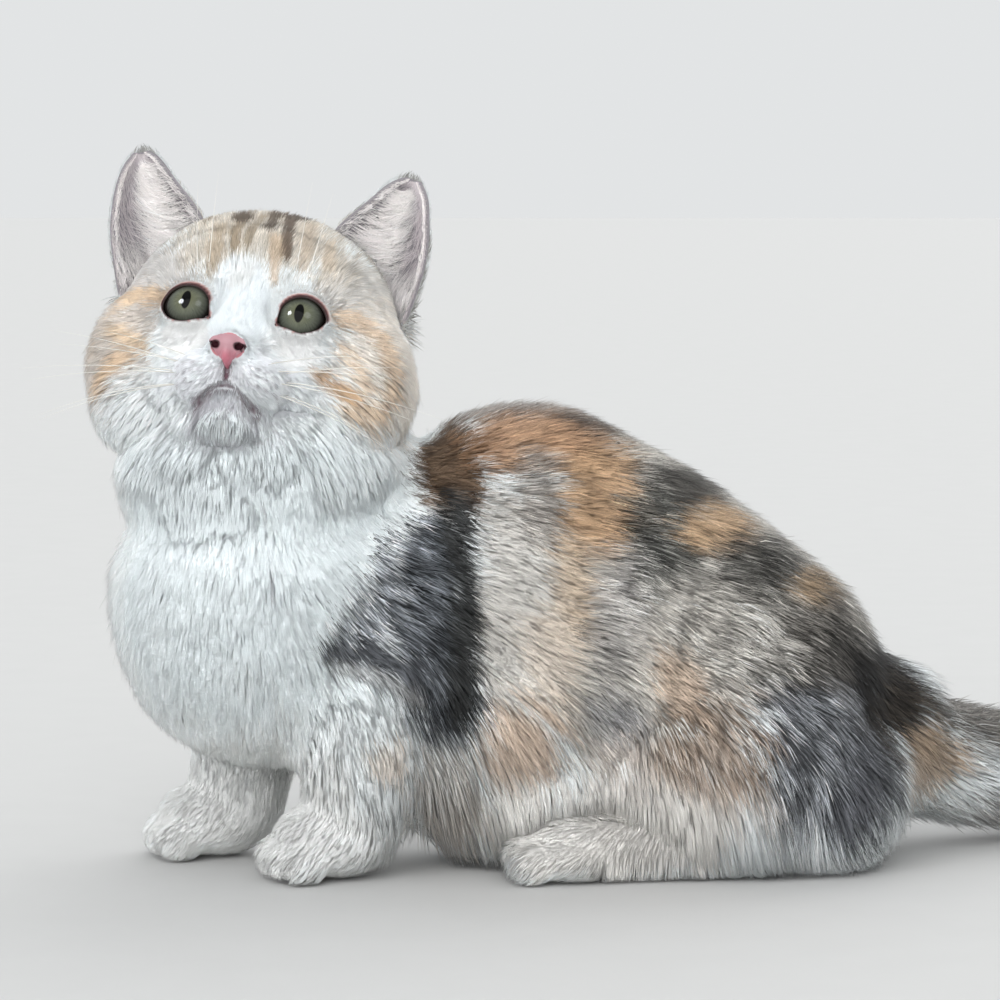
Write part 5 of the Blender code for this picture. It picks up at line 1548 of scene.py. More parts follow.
@dataclass
class Skin:
    """The cat's skin, one closed surface inside the coat."""

    lie: Lie
    markings: Markings

    def build(self) -> bpy.types.Object:
        """Makes the skin and paints it.

        Returns:
            The skin.
        """
        trunk = TRUNK.outer()
        self.draw_in(trunk)
        for paw in PAWS:
            form = paw.form()
            self.draw_in(form)
            combined(trunk, form, "UNION")
        head = self.head()
        combined(trunk, head, "UNION")
        trunk.name = "skin"
        places = coordinates(trunk.data)
        places[:, 2] = np.maximum(places[:, 2], FLOOR)
        set_coordinates(trunk.data, places)
        shape = bmesh.new()
        shape.from_mesh(trunk.data)
        bmesh.ops.remove_doubles(shape, verts=shape.verts, dist=0.00001)
        bmesh.ops.triangulate(shape, faces=shape.faces)
        bmesh.ops.dissolve_degenerate(shape, edges=shape.edges, dist=0.00001)
        shape.to_mesh(trunk.data)
        shape.free()
        self.dress(trunk)
        return trunk

    def draw_in(self, form: bpy.types.Object) -> None:
        """Moves a form's surface inwards by the depth of the coat."""
        places = coordinates(form.data)
        sizes = self.lie.at(places)[1]
        set_coordinates(form.data, places - vertex_normals(form.data) * sizes[:, 1:2])
        smooth = form.modifiers.new("settle", "SMOOTH")
        smooth.factor = 0.5
        smooth.iterations = 3
        baked(form)

    def head(self) -> bpy.types.Object:
        """The head's skin, with lids, lips and ears, set in its place."""
        form = HeadForm()
        head = form.outer()
        head.data.transform(HEAD_SPACE.matrix())
        self.draw_in(head)
        head.data.transform(HEAD_SPACE.matrix().inverted())
        form.refine(head, EYES)
        self.lip_lines = form.lines(head)
        form.press_lips(head, self.lip_lines)
        form.open_eyes(head, EYES)
        for side in Side:
            combined(head, EARS.shell(side), "UNION")
        head.data.transform(HEAD_SPACE.matrix())
        return head

    def lip_distance(self, points: np.ndarray, inner: bool = False) -> np.ndarray:
        """How far points are from the line of the mouth.

        Args:
            points: places in the model's frame, or the head's.
            inner: whether they are in the head's frame.

        Returns:
            The distances in metres.
        """
        places = points if inner else HEAD_SPACE.inwards(points)
        return np.min([line_distance(places, line) for line in self.lip_lines], axis=0)

    def bare(self, inner: np.ndarray, normals: np.ndarray) -> tuple:
        """Where the skin shows between the hairs.

        Args:
            inner: points in the head's frame.
            normals: the surface's normals there, in the head's frame.

        Returns:
            Masks from 0 to 1: the lids, the lips, the nose and the hollow of the ears.
        """
        lids = np.zeros(len(inner))
        for side in Side:
            distance, angle, ahead = EYES.lid_distance(inner, side)
            near = ahead & (np.linalg.norm(inner - np.array(side.mirror(EYES.place)), axis=1) < 0.020)
            inner_corner = math.pi - math.radians(EYES.corner_turn)
            off = np.abs((angle - inner_corner + math.pi) % (2 * math.pi) - math.pi)
            reach = 0.0004 + 0.0024 * np.sqrt(np.clip(np.sin(angle + 0.15), 0, 1)) + 0.0007 * np.exp(-((off / 0.3) ** 2))
            lids = np.maximum(lids, near * smooth_step(distance, reach, 0.3 * reach))
        lips = smooth_step(self.lip_distance(inner, True), 0.0015, 0.0007)
        lips = lips * smooth_step(np.abs(inner[:, 1]), 0.0112, 0.0088)
        off = (inner - np.array(NoseLeather().place)) / (np.array(NoseLeather().radii) * 1.02)
        nose = (np.linalg.norm(off, axis=1) < 1).astype(float)
        hollow = EARS.inside(inner, normals).astype(float)
        return lids, lips, nose, hollow

    def dress(self, skin: bpy.types.Object) -> None:
        """Paints the skin with the coat's markings and its bare places."""
        places = coordinates(skin.data)
        normals = vertex_normals(skin.data)
        lies = self.lie.at(places)[0]
        colours, _ = self.markings.colour(places, lies, np.zeros(len(places)))
        inner = HEAD_SPACE.inwards(places)
        rotation = np.array(HEAD_SPACE.matrix())[:3, :3]
        lids, lips, nose, hollow = self.bare(inner, normals @ rotation)
        for mask, colour in (
            (hollow, "9A9599"),
            (smooth_step(lids, 0.0, 0.6), "B98D88"),
            (smooth_step(lids, 0.75, 1.0), "55393A"),
            (lips, "7E5E6A"),
            (nose, "D08A92"),
            # painted shade inside the nostrils, on the skin seen through them
            (nose * NoseLeather().painted_nostril_shade(inner), NoseLeather().dark),
        ):
            colours += (linear(colour) - colours) * mask[:, None]
        paint(skin.data, colours)
        self.unwrap(skin)
        nodes = [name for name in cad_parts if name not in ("nose", "eye_left", "eye_right")]
        finished(skin, SkinFinish().material(), "patched_coat", *nodes)

    @staticmethod
    def unwrap(skin: bpy.types.Object) -> None:
        """Unfolds the skin's own shape into flat islands."""
        bpy.context.view_layer.objects.active = skin
        skin.select_set(True)
        skin.data.uv_layers.new(name=BAKE_MAP)
        bpy.ops.object.mode_set(mode="EDIT")
        bpy.ops.mesh.select_all(action="SELECT")
        bpy.ops.uv.smart_project(angle_limit=math.radians(75), island_margin=0.002)
        bpy.ops.object.mode_set(mode="OBJECT")
        skin.select_set(False)


@dataclass
class NoseLeather:
    """The bare leather of the nose, in the head's frame."""

    place: tuple = (0.0515, 0.0, -0.0150)
    radii: tuple = (0.0060, 0.0062, 0.0050)
    grow: float = 0.0003
    nostril: tuple = (0.0513, 0.0038, -0.0156)
    # the painted shade inside the nostrils and their slits
    dark: str = "38111C"
    outline: tuple = (
        (0.0, -12.0),
        (2.8, -11.9),
        (5.2, -12.6),
        (6.3, -14.4),
        (5.6, -16.2),
        (3.6, -17.6),
        (1.9, -19.0),
        (0.9, -20.6),
        (0.0, -21.2),
    )

    def region(self) -> bpy.types.Object:
        """The leather's outline, as a solid along x."""
        half = [(y * MM, z * MM) for y, z in self.outline]
        ring = [*half, *((-y, z) for y, z in reversed(half[1:-1]))]
        shape = bmesh.new()
        face = shape.faces.new([shape.verts.new((0.036, y, z)) for y, z in ring])
        grown = bmesh.ops.extrude_face_region(shape, geom=[face])["geom"]
        moved = [item for item in grown if isinstance(item, bmesh.types.BMVert)]
        bmesh.ops.translate(shape, vec=(0.030, 0, 0), verts=moved)
        bmesh.ops.recalc_face_normals(shape, faces=shape.faces)
        return new_piece("region", shape)

    def painted_nostril_shade(self, points: np.ndarray) -> np.ndarray:
        """How far points in the head's frame lie inside the nostrils and their slits, from 0 to 1: how much painted
        shade darkens them there.
        """
        deep = np.zeros(len(points))
        for side in Side:
            for middle, radii in ((self.nostril, (0.0015, 0.0014)), ((0.0495, 0.0060, -0.0152), (0.0026, 0.0006))):
                off = (points - np.array(side.mirror(middle)))[:, 1:] / radii
                deep = np.maximum(deep, smooth_step(np.linalg.norm(off, axis=1), 1.25, 0.85))
        return deep * (points[:, 0] > 0.040)

    def build(self) -> bpy.types.Object:
        """The nose leather with its nostrils."""
        shape = bmesh.new()
        g = self.grow
        add_ellipsoid(shape, Matrix.Translation((0.0455, 0.0, -0.0138)), (0.0080 + g, 0.0060 + g, 0.0056 + g), 32)
        add_ellipsoid(shape, Matrix.Translation((0.0460, 0.0, -0.0175)), (0.0068 + g, 0.0026, 0.0040), 32)
        for side in Side:
            wing = Matrix.Translation(side.mirror((0.0468, 0.0043, -0.0150)))
            add_ellipsoid(shape, wing, (0.0058 + g, 0.0036 + g, 0.0039 + g), 32)
        nose = fused("nose_leather", shape, 0.00035, 6)
        combined(nose, self.region(), "INTERSECT")
        smooth = nose.modifiers.new("round", "SMOOTH")
        smooth.factor, smooth.iterations = 0.5, 3
        baked(nose)
        for side in Side:
            shape = bmesh.new()
            at = turned(side.mirror(self.nostril), 28 * side.value)
            add_ellipsoid(shape, at, (0.0034, 0.00155, 0.00135), 20)
            slit = turned(side.mirror((0.0500, 0.0058, -0.0152)), 45 * side.value)
            add_ellipsoid(shape, slit, (0.0024, 0.0024, 0.00045), 20)
            cutter = fused("nostril", shape, 0.0002, 0)
            combined(nose, cutter, "DIFFERENCE")
        places = coordinates(nose.data)
        colours = np.tile(linear("C4969F"), (len(places), 1))
        low = smooth_step(places[:, 2], -0.0160, -0.0200)[:, None]
        colours += (linear("CE7A8B") - colours) * low
        # painted shade inside the nostrils and their slits
        colours += (linear(self.dark) - colours) * self.painted_nostril_shade(places)[:, None]
        paint(nose.data, colours)
        nose.data.transform(HEAD_SPACE.matrix())
        finished(nose, LeatherFinish("nose_leather_moist_skin", "FFFFFF", "F0E4E4").material(), "nose_leather", "nose")
        return nose


@dataclass
class Strands:
    """Thin closed tufts, each a spindle along its own centre line."""

    lines: np.ndarray
    side: np.ndarray
    up: np.ndarray
    widths: np.ndarray
    skin_normal: np.ndarray
    softness: float = 0.92

    def mesh_data(self) -> tuple:
        """The tufts' shape.

        Returns:
            Vertices and shading normals, one row for each tuft, and the faces of one tuft.
        """
        rings = self.lines.shape[1] - 2
        points, normals = [self.lines[:, 0]], [self.skin_normal]
        for k in range(rings):
            middle = self.lines[:, k + 1]
            half = self.side * (self.widths[:, k] / 2)[:, None]
            ridge = self.up * (self.widths[:, k] * 0.17)[:, None]
            for out in (-half - ridge * 0.3, half - ridge * 0.3, ridge):
                points.append(middle + out)
                normals.append(unit(unit(out) * (1 - self.softness) + self.skin_normal * self.softness))
        points.append(self.lines[:, -1])
        normals.append(self.skin_normal)
        faces = [(0, 2, 1), (0, 3, 2), (0, 1, 3)]
        last = 1
        for _ in range(rings - 1):
            for i in range(3):
                p, q = last + i, last + (i + 1) % 3
                faces += [(p, q, q + 3), (p, q + 3, p + 3)]
            last += 3
        faces += [(last, last + 1, last + 3), (last + 1, last + 2, last + 3), (last + 2, last, last + 3)]
        return np.stack(points, 1), np.stack(normals, 1), np.array(faces)

    @staticmethod
    def build(name: str, parts: list) -> bpy.types.Object:
        """One mesh from rows of tufts.

        Args:
            name: the piece's name.
            parts: for each row, its vertices, normals, faces, colours and map places.

        Returns:
            The piece.
        """
        mesh = bpy.data.meshes.new(name)
        points, shading, triangles, colours, maps = [], [], [], [], []
        start = 0
        for vertices, normals, faces, rgb, places in parts:
            count, each = vertices.shape[:2]
            points.append(vertices.reshape(-1, 3))
            shading.append(normals.reshape(-1, 3))
            step = (np.arange(count) * each)[:, None, None] + start
            triangles.append((faces[None, :, :] + step).reshape(-1, 3))
            colours.append(rgb.reshape(-1, 3))
            maps.append(places[:, faces, :].reshape(-1, 2))
            start += count * each
        points, triangles = np.concatenate(points), np.concatenate(triangles)
        points[:, 2] = np.maximum(points[:, 2], FLOOR)
        mesh.vertices.add(len(points))
        mesh.vertices.foreach_set("co", points.astype(np.float32).ravel())
        mesh.loops.add(len(triangles) * 3)
        mesh.loops.foreach_set("vertex_index", triangles.astype(np.int32).ravel())
        mesh.polygons.add(len(triangles))
        mesh.polygons.foreach_set("loop_start", np.arange(0, len(triangles) * 3, 3, dtype=np.int32))
        mesh.update(calc_edges=True)
        paint(mesh, np.concatenate(colours))
        layer = mesh.uv_layers.new(name=BAKE_MAP)
        layer.data.foreach_set("uv", np.clip(np.concatenate(maps), 0, 1).astype(np.float32).ravel())
        mesh.shade_smooth()
        mesh.normals_split_custom_set_from_vertices(unit(np.concatenate(shading)))
        piece = bpy.data.objects.new(name, mesh)
        bpy.context.scene.collection.objects.link(piece)
        return piece


@dataclass
class Coat:
    """The coat: thin solid tufts that grow from the skin."""

    lie: Lie
    markings: Markings
    skin: Skin
    coverage: float = 3.8
    budget: int = 1_390_000
    locks: dict = field(
        default_factory=lambda: {Patch.BIB: 0.10, Patch.LEGS: 0.10, Patch.FACE: 0.10, Patch.HEAD: 0.18, Patch.EARS: 0.3}
    )

    def sample(self, body: bpy.types.Object) -> dict:
        """Picks the places where tufts grow.

        Args:
            body: the skin's object.

        Returns:
            Arrays by name, one row for each tuft.
        """
        mesh = body.data
        mesh.calc_loop_triangles()
        count = len(mesh.loop_triangles)
        corners = np.empty(count * 3, np.int32)
        loops = np.empty(count * 3, np.int32)
        mesh.loop_triangles.foreach_get("vertices", corners)
        mesh.loop_triangles.foreach_get("loops", loops)
        corners, loops = corners.reshape(-1, 3), loops.reshape(-1, 3)
        uv = np.empty(len(mesh.loops) * 2, np.float32)
        mesh.uv_layers[BAKE_MAP].data.foreach_get("uv", uv)
        uv = uv.reshape(-1, 2)[loops]
        places, normals = coordinates(mesh), vertex_normals(mesh)
        tri = places[corners]
        area = np.linalg.norm(np.cross(tri[:, 1] - tri[:, 0], tri[:, 2] - tri[:, 0]), axis=1) / 2
        _, sizes, best = self.lie.at(tri.mean(1))
        each = 0.55 * sizes[:, 0] * sizes[:, 2]
        patches = np.array([patch.value for patch in self.lie.patches])[best]
        share = np.where(patches == Patch.FAR_FLANK.value, 0.75, 1.0)
        share[patches == Patch.FACE.value] = 0.85
        share[patches == Patch.HEAD.value] = 1.10
        share[patches == Patch.EARS.value] = 0.62
        share[patches == Patch.LEGS.value] = 0.64
        share[np.isin(patches, (Patch.SADDLE.value, Patch.NEAR_FLANK.value))] = 1.3
        share[patches == Patch.BIB.value] = 1.9
        wanted = area * self.coverage * share / each
        scale = min(1.0, self.budget / (wanted * 6).sum())
        LOG.info("coat: %d tufts wanted, %.2f of them grown", wanted.sum(), scale)
        chance = np.random.default_rng(SEED)
        number = np.floor(wanted * scale + chance.random(count)).astype(int)
        index = np.repeat(np.arange(count), number)
        a, b = chance.random((2, len(index)))
        flip = a + b > 1
        a[flip], b[flip] = 1 - a[flip], 1 - b[flip]
        weights = np.stack([1 - a - b, a, b], 1)[:, :, None]
        found = {
            "root": (tri[index] * weights).sum(1),
            "normal": unit((normals[corners[index]] * weights).sum(1)),
            "uv": (uv[index] * weights).sum(1),
            "patch": patches[index],
        }
        inner = HEAD_SPACE.inwards(found["root"])
        rotation = np.array(HEAD_SPACE.matrix())[:3, :3]
        lids, lips, nose, hollow = self.skin.bare(inner, found["normal"] @ rotation)
        keep = (lids + nose + hollow < 0.5) & (lips < 0.5)
        keep &= ~((found["root"][:, 2] < 0.002) & (found["normal"][:, 2] < -0.3))
        for side in Side:
            off = inner - np.array(side.mirror(EYES.place))
            keep &= np.linalg.norm(off, axis=1) > EYES.radius + 0.0006
        return {name: rows[keep] for name, rows in found.items()}

    def grow(self, body: bpy.types.Object) -> None:
        """Grows the coat in its pieces.

        Args:
            body: the skin's object.
        """
        tufts = self.sample(body)
        material = FurFinish().material()
        for number, patch in enumerate(Patch):
            rows = tufts["patch"] == patch.value
            if rows.any():
                chance = np.random.default_rng(SEED + number)
                drawn = self.locks.get(patch, 0.8)
                parts = [self.tufts(*(tufts[name][rows] for name in ("root", "normal", "uv")), drawn, chance)]
                if patch is Patch.EARS:
                    parts.append(self.ear_hair(body, chance))
                white = patch in (Patch.BIB, Patch.LEGS)
                finished(Strands.build(patch.value, parts), material, "white_coat" if white else "patched_coat")

    def tufts(
        self, root: np.ndarray, normal: np.ndarray, uv: np.ndarray, drawn: float, chance: np.random.Generator
    ) -> tuple:
        """Works out the tufts of one piece.

        Args:
            root: where each grows.
            normal: the skin's normal there.
            uv: its place on the bake's map.
            drawn: how strongly the tufts are drawn into locks.
            chance: the source of their variation.

        Returns:
            Vertices, normals, faces, colours and map places.
        """
        count = len(root)
        lies, sizes, _ = self.lie.at(root)
        lies, near = self.part_round_eyes(root, lies)
        lips = self.skin.lip_distance(root)
        near = np.maximum(near, smooth_step(lips, 0.0045, 0.0015))
        swirl = np.stack([lattice_noise(root, 0.014, s) for s in (11, 12, 13)], 1) * 0.28
        swirl += np.stack([lattice_noise(root, 0.006, s) for s in (21, 22, 23)], 1) * 0.16
        swirl *= 0.35 + 0.8 * drawn
        lie = lies + swirl + chance.normal(0, 0.09 + 0.06 * drawn, (count, 3))
        lie = unit(lie - normal * (lie * normal).sum(1, keepdims=True))
        length = sizes[:, 0] * chance.uniform(0.70, 1.22, count) * (1 - 0.55 * near)
        height = sizes[:, 1] * chance.uniform(0.95 - 0.40 * drawn, 1.06, count) * (1 + 0.15 * lattice_noise(root, 0.010, 17))
        height *= (1 - 0.5 * near) * np.where(chance.random(count) < 0.04, 1.35, 1.0)
        width = sizes[:, 2] * chance.uniform(0.65, 1.2, count)
        flat = np.sqrt(np.maximum(length**2 - height**2, (0.4 * length) ** 2))
        straight = root + lie * flat[:, None] + normal * height[:, None]
        tip = straight.copy()
        tip[:, 2] -= flat * flat * 1.5
        hang = self.hang(root, normal)[:, None]
        fall = unit(np.array((0.10, 0.0, -1.0)) + normal * 0.25 + lie * 0.55) * (length * 1.7)[:, None]
        tip = tip * (1 - hang) + (root + fall) * hang
        tip, lock = self.clump(root, tip, length, drawn, chance)
        side = np.cross(normal, lie)
        twist = chance.uniform(-0.6, 0.6, count)[:, None]
        side = unit(side * np.cos(twist) + normal * np.sin(twist))
        share = 0.45
        rise = normal * (height * (1 - (1 - share) ** 1.8))[:, None]
        middle = root + lie * (flat * share)[:, None] + rise + (tip - straight) * share**1.6
        lines = np.stack([root - normal * 0.0005, middle, tip], 1)
        shape = Strands(lines, side, unit(np.cross(lie, side)), width[:, None], normal)
        vertices, normals, faces = shape.mesh_data()
        jitter = chance.uniform(-1, 1, count)
        seen = middle + (tip - middle) * 0.3
        colours, ticking = self.markings.colour(seen, lies, jitter)
        # painted shade of the mouth's groove: the fur along the mouth line is darkened towards mauve
        dark = smooth_step(lips, 0.0028, 0.0009)[:, None] * 0.7
        colours += (linear("7A6870") - colours) * dark
        rgb = self.shades(colours, ticking, (0.0, share, share, share, 1.0), lock, chance)
        spots = np.array([(0.5, 0.0), (0.0, share), (1.0, share), (0.5, share), (0.5, 1.0)])
        return vertices, normals, faces, rgb, uv[:, None, :] + (spots[None, :, :] - 0.5) * 0.003

    @staticmethod
    def shades(
        colours: np.ndarray, ticking: np.ndarray, levels: tuple, lock: np.ndarray, chance: np.random.Generator
    ) -> np.ndarray:
        """Varies the colour from lock to lock, from tuft to tuft and from root to tip: ticked tufts get paler tips, and
        every tuft is darkened towards its root as painted shade.

        Args:
            colours: one linear colour a tuft.
            ticking: how strongly the tufts vary.
            levels: how far each vertex of a tuft is from its root.
            lock: a random value from -1 to 1 that the tufts of one lock share.
            chance: the source of the variation.

        Returns:
            A colour for each vertex.
        """
        count = len(colours)
        bright = np.exp(chance.normal(0, 0.03, count) + ticking * (chance.normal(0, 0.40, count) + 0.45 * lock))
        levels = np.array(levels)
        tipped = 1 + ticking[:, None] * chance.uniform(0.1, 1.1, count)[:, None] * levels[None, :] ** 1.5
        # painted shade: each tuft darker at its root (x0.95) than at its tip (x1.02)
        rgb = colours[:, None, :] * (bright[:, None] * (0.95 + 0.07 * levels)[None, :] * tipped)[:, :, None]
        return np.clip(rgb, 0.002, 0.92)

    def part_round_eyes(self, root: np.ndarray, lies: np.ndarray) -> tuple:
        """Turns the fur next to each eye away from it.

        Args:
            root: where the tufts grow.
            lies: the lie of the coat there.

        Returns:
            The changed lie, and how near an eye each tuft is, from 0 to 1.
        """
        inner = HEAD_SPACE.inwards(root)
        changed, nearest = lies.copy(), np.zeros(len(root))
        for side in Side:
            off = inner - np.array(side.mirror(EYES.place)) - np.array((0.009, 0, 0))
            reach = np.linalg.norm(off, axis=1)
            near = np.exp(-((np.maximum(reach - 0.0085, 0) / 0.0045) ** 2))
            changed += HEAD_SPACE.outwards(unit(off)) * (1.6 * near)[:, None]
            nearest = np.maximum(nearest, near)
        return unit(changed), nearest

    @staticmethod
    def hang(root: np.ndarray, normal: np.ndarray) -> np.ndarray:
        """How freely the fur hangs, from 0 to 1: most along the low edge of the belly and bib."""
        low = smooth_step(root[:, 2], 0.050, 0.020) * smooth_step(normal[:, 2], 0.45, -0.10)
        x, y = root[:, 0] - MID_BACK.x, np.abs(root[:, 1] - MID_BACK.y - 0.006)
        toes = (x > -0.006) & (x < 0.036) & (root[:, 2] < 0.021) & (y > 0.028)
        return low * smooth_step(x, -0.034, -0.022) * smooth_step(x, 0.125, 0.105) * ~toes

    def clump(
        self, root: np.ndarray, tip: np.ndarray, length: np.ndarray, drawn: float, chance: np.random.Generator
    ) -> tuple:
        """Draws the tips of neighbouring tufts together, as locks of hair do.

        Args:
            root: where the tufts grow.
            tip: where they end.
            length: how long they are.
            drawn: how strongly they are drawn together.
            chance: the source of their variation.

        Returns:
            The changed tips, and a random value from -1 to 1 that the tufts of a lock share.
        """
        leaders = chance.choice(len(root), max(1, len(root) // 22), replace=False)
        tree = KDTree(len(leaders))
        for number, leader in enumerate(leaders):
            tree.insert(root[leader], number)
        tree.balance()
        nearest = np.array([leaders[tree.find(place)[1]] for place in root])
        off = tip[nearest] - tip
        reach = np.linalg.norm(off, axis=1)
        pull = drawn * chance.uniform(0.05, 0.65, len(root)) * np.clip(1.2 - reach / length, 0, 1)
        return tip + off * pull[:, None], chance.uniform(-1, 1, len(root))[nearest]

    def ear_hair(self, body: bpy.types.Object, chance: np.random.Generator) -> tuple:
        """The long pale hairs that sweep across the hollow of each ear.

        Args:
            body: the skin's object.
            chance: the source of their variation.

        Returns:
            Vertices, normals, faces, colours and map places.
        """
        surface = BVHTree.FromPolygons(
            [v.co for v in body.data.vertices], [p.vertices for p in body.data.polygons]
        )
        uv = body.data.uv_layers[BAKE_MAP].data
        matrix = HEAD_SPACE.matrix()
        lines, sides, ups, widths, spots, tints = [], [], [], [], [], []
        front = matrix.to_3x3() @ Vector((1, 0, 0))
        for side in Side:
            for kind, number in (("fringe", 1100), ("down", 2300), ("rim", 700), ("base", 500)):
                for _ in range(number):
                    share, rise, run, climb, lift, width = self.ear_stations(kind, chance)
                    start = EARS.surface(side, share, rise)
                    places = []
                    for t in (0.0, 0.33, 0.68, 1.0):
                        spot = (min(1.0, max(0.0, share + run * t)), min(0.99, rise + climb * t**1.3))
                        stand = EARS.wall * 0.5 + lift * math.sin(math.pi * min(1.0, 0.15 + 0.75 * t))
                        places.append(matrix @ (EARS.surface(side, *spot) + EARS.facing(side, *spot) * stand))
                    places[0] = matrix @ (start + EARS.facing(side, share, rise) * 0.0002)
                    along = (places[-1] - places[0]).normalized()
                    across = front.cross(along).normalized()
                    lines.append([tuple(p) for p in places])
                    sides.append(tuple(across))
                    ups.append(tuple(along.cross(across)))
                    widths.append((width, width * 0.7))
                    face = surface.find_nearest(places[0])[2]
                    spots.append(tuple(uv[body.data.polygons[face].loop_start].uv))
                    tints.append({"fringe": 1.0, "down": 0.30, "rim": 0.9, "base": 0.85}[kind] * chance.uniform(0.85, 1.08))
        count = len(lines)
        normal = np.tile(np.array(front), (count, 1))
        shape = Strands(np.array(lines), np.array(sides), np.array(ups), np.array(widths), normal, 0.5)
        vertices, normals, faces = shape.mesh_data()
        tints = np.array(tints)[:, None]
        colours = linear("A79CA2") * (1 - tints) + linear("EDE8E6") * tints
        levels = (0.0, 0.33, 0.33, 0.33, 0.68, 0.68, 0.68, 1.0)
        rgb = self.shades(colours, np.full(count, 0.12), levels, np.zeros(count), chance)
        offsets = np.array([(0.5, 0.0), *(((x, s)) for s in (0.33, 0.68) for x in (0.0, 1.0, 0.5)), (0.5, 1.0)])
        return vertices, normals, faces, rgb, np.array(spots)[:, None, :] + (offsets[None, :, :] - 0.5) * 0.003

    @staticmethod
    def ear_stations(kind: str, chance: np.random.Generator) -> tuple:
        """Where a hair of the ear grows, and how it runs.

        Args:
            kind: fringe from the inner edge, down on the hollow, rim, or base, over its foot.
            chance: the source of the variation.

        Returns:
            Its share and rise on the ear's sheet, how far it runs across and up, how far it
            stands off, and its width.
        """
        if kind == "fringe":
            rise = chance.uniform(0.02, 0.72)
            return (
                chance.uniform(-0.01, 0.16 + 0.2 * (1 - rise)),
                rise,
                chance.uniform(0.28, 0.62),
                chance.uniform(0.10, 0.26),
                chance.uniform(0.0006, 0.0030),
                0.00026,
            )
        if kind == "down":
            return (
                chance.uniform(0.0, 1.0) ** 0.7,
                chance.uniform(0.0, 0.95),
                chance.uniform(0.02, 0.12),
                chance.uniform(0.05, 0.11),
                chance.uniform(0.0001, 0.0006),
                0.00024,
            )
        if kind == "base":
            share = chance.uniform(0.02, 0.98)
            return (
                share,
                chance.uniform(0.0, 0.05) + 0.16 * share,
                chance.uniform(-0.02, 0.14),
                chance.uniform(0.10, 0.26),
                chance.uniform(0.0015, 0.0045),
                0.00028,
            )
        outer = chance.random() < 0.5
        return (
            chance.uniform(0.95, 1.0) if outer else chance.uniform(0.0, 0.05),
            chance.uniform(0.0, 0.97),
            -chance.uniform(0.0, 0.05) if outer else chance.uniform(0.0, 0.05),
            chance.uniform(0.03, 0.08),
            chance.uniform(0.0002, 0.0009),
            0.00026,
        )


@dataclass
class Whiskers:
    """Whiskers and brow hairs: root, way out, bend and length in the head's frame."""

    hairs: tuple = (
        ((0.0420, 0.0140, -0.0200), (0.30, 1.0, 0.05), -0.08, 50),
        ((0.0400, 0.0160, -0.0230), (0.25, 1.0, -0.10), -0.12, 53),
        ((0.0380, 0.0170, -0.0265), (0.20, 1.0, -0.26), -0.14, 50),
        ((0.0440, 0.0120, -0.0185), (0.40, 1.0, 0.18), -0.06, 42),
        ((0.0370, 0.0185, -0.0215), (0.15, 1.0, -0.02), -0.10, 54),
        ((0.0350, 0.0190, -0.0255), (0.10, 1.0, -0.20), -0.16, 46),
        ((0.0360, 0.0185, -0.0180), (0.20, 1.0, 0.20), -0.08, 46),
    )
    brows: tuple = (
        ((0.0270, 0.0150, 0.0190), (0.25, 0.05, 1.0), 0.20, 30),
        ((0.0260, 0.0190, 0.0195), (0.20, 0.18, 1.0), 0.22, 26),
    )
    thickness: float = 0.00020

    def build(self) -> None:
        """Makes the whiskers of both sides."""
        chance = np.random.default_rng(SEED + 50)
        for side in Side:
            runs = [
                self.hair(side, Vector(root), Vector(way).normalized(), bend, length * MM, chance)
                for root, way, bend, length in (*self.hairs, *self.brows)
            ]
            piece = tubes(f"whiskers_{side.name.lower()}", runs, False, HEAD_SPACE.matrix())
            finished(piece, HornFinish("whisker_keratin_white", "F4F1EA").material(), "white_coat")

    def hair(
        self, side: Side, root: Vector, way: Vector, bend: float, length: float, chance: np.random.Generator
    ) -> tuple:
        """The path of one hair, which bends and tapers.

        Args:
            side: the side that it grows on.
            root: its root on the left side.
            way: which way it leaves, on the left side.
            bend: how far its tip is bent up, as a share of its length.
            length: its length in metres.
            chance: the source of its variation.

        Returns:
            Its points, and its radius at each.
        """
        length *= chance.uniform(0.9, 1.1)
        bend += chance.uniform(-0.03, 0.03)
        shares = np.linspace(0, 1, 13)
        points = [root + way * length * (t - 0.04) + Vector((-0.12, 0, bend)) * length * t * t for t in shares]
        return [side.mirror(point) for point in points], [self.thickness * (1 - 0.88 * t) for t in shares]


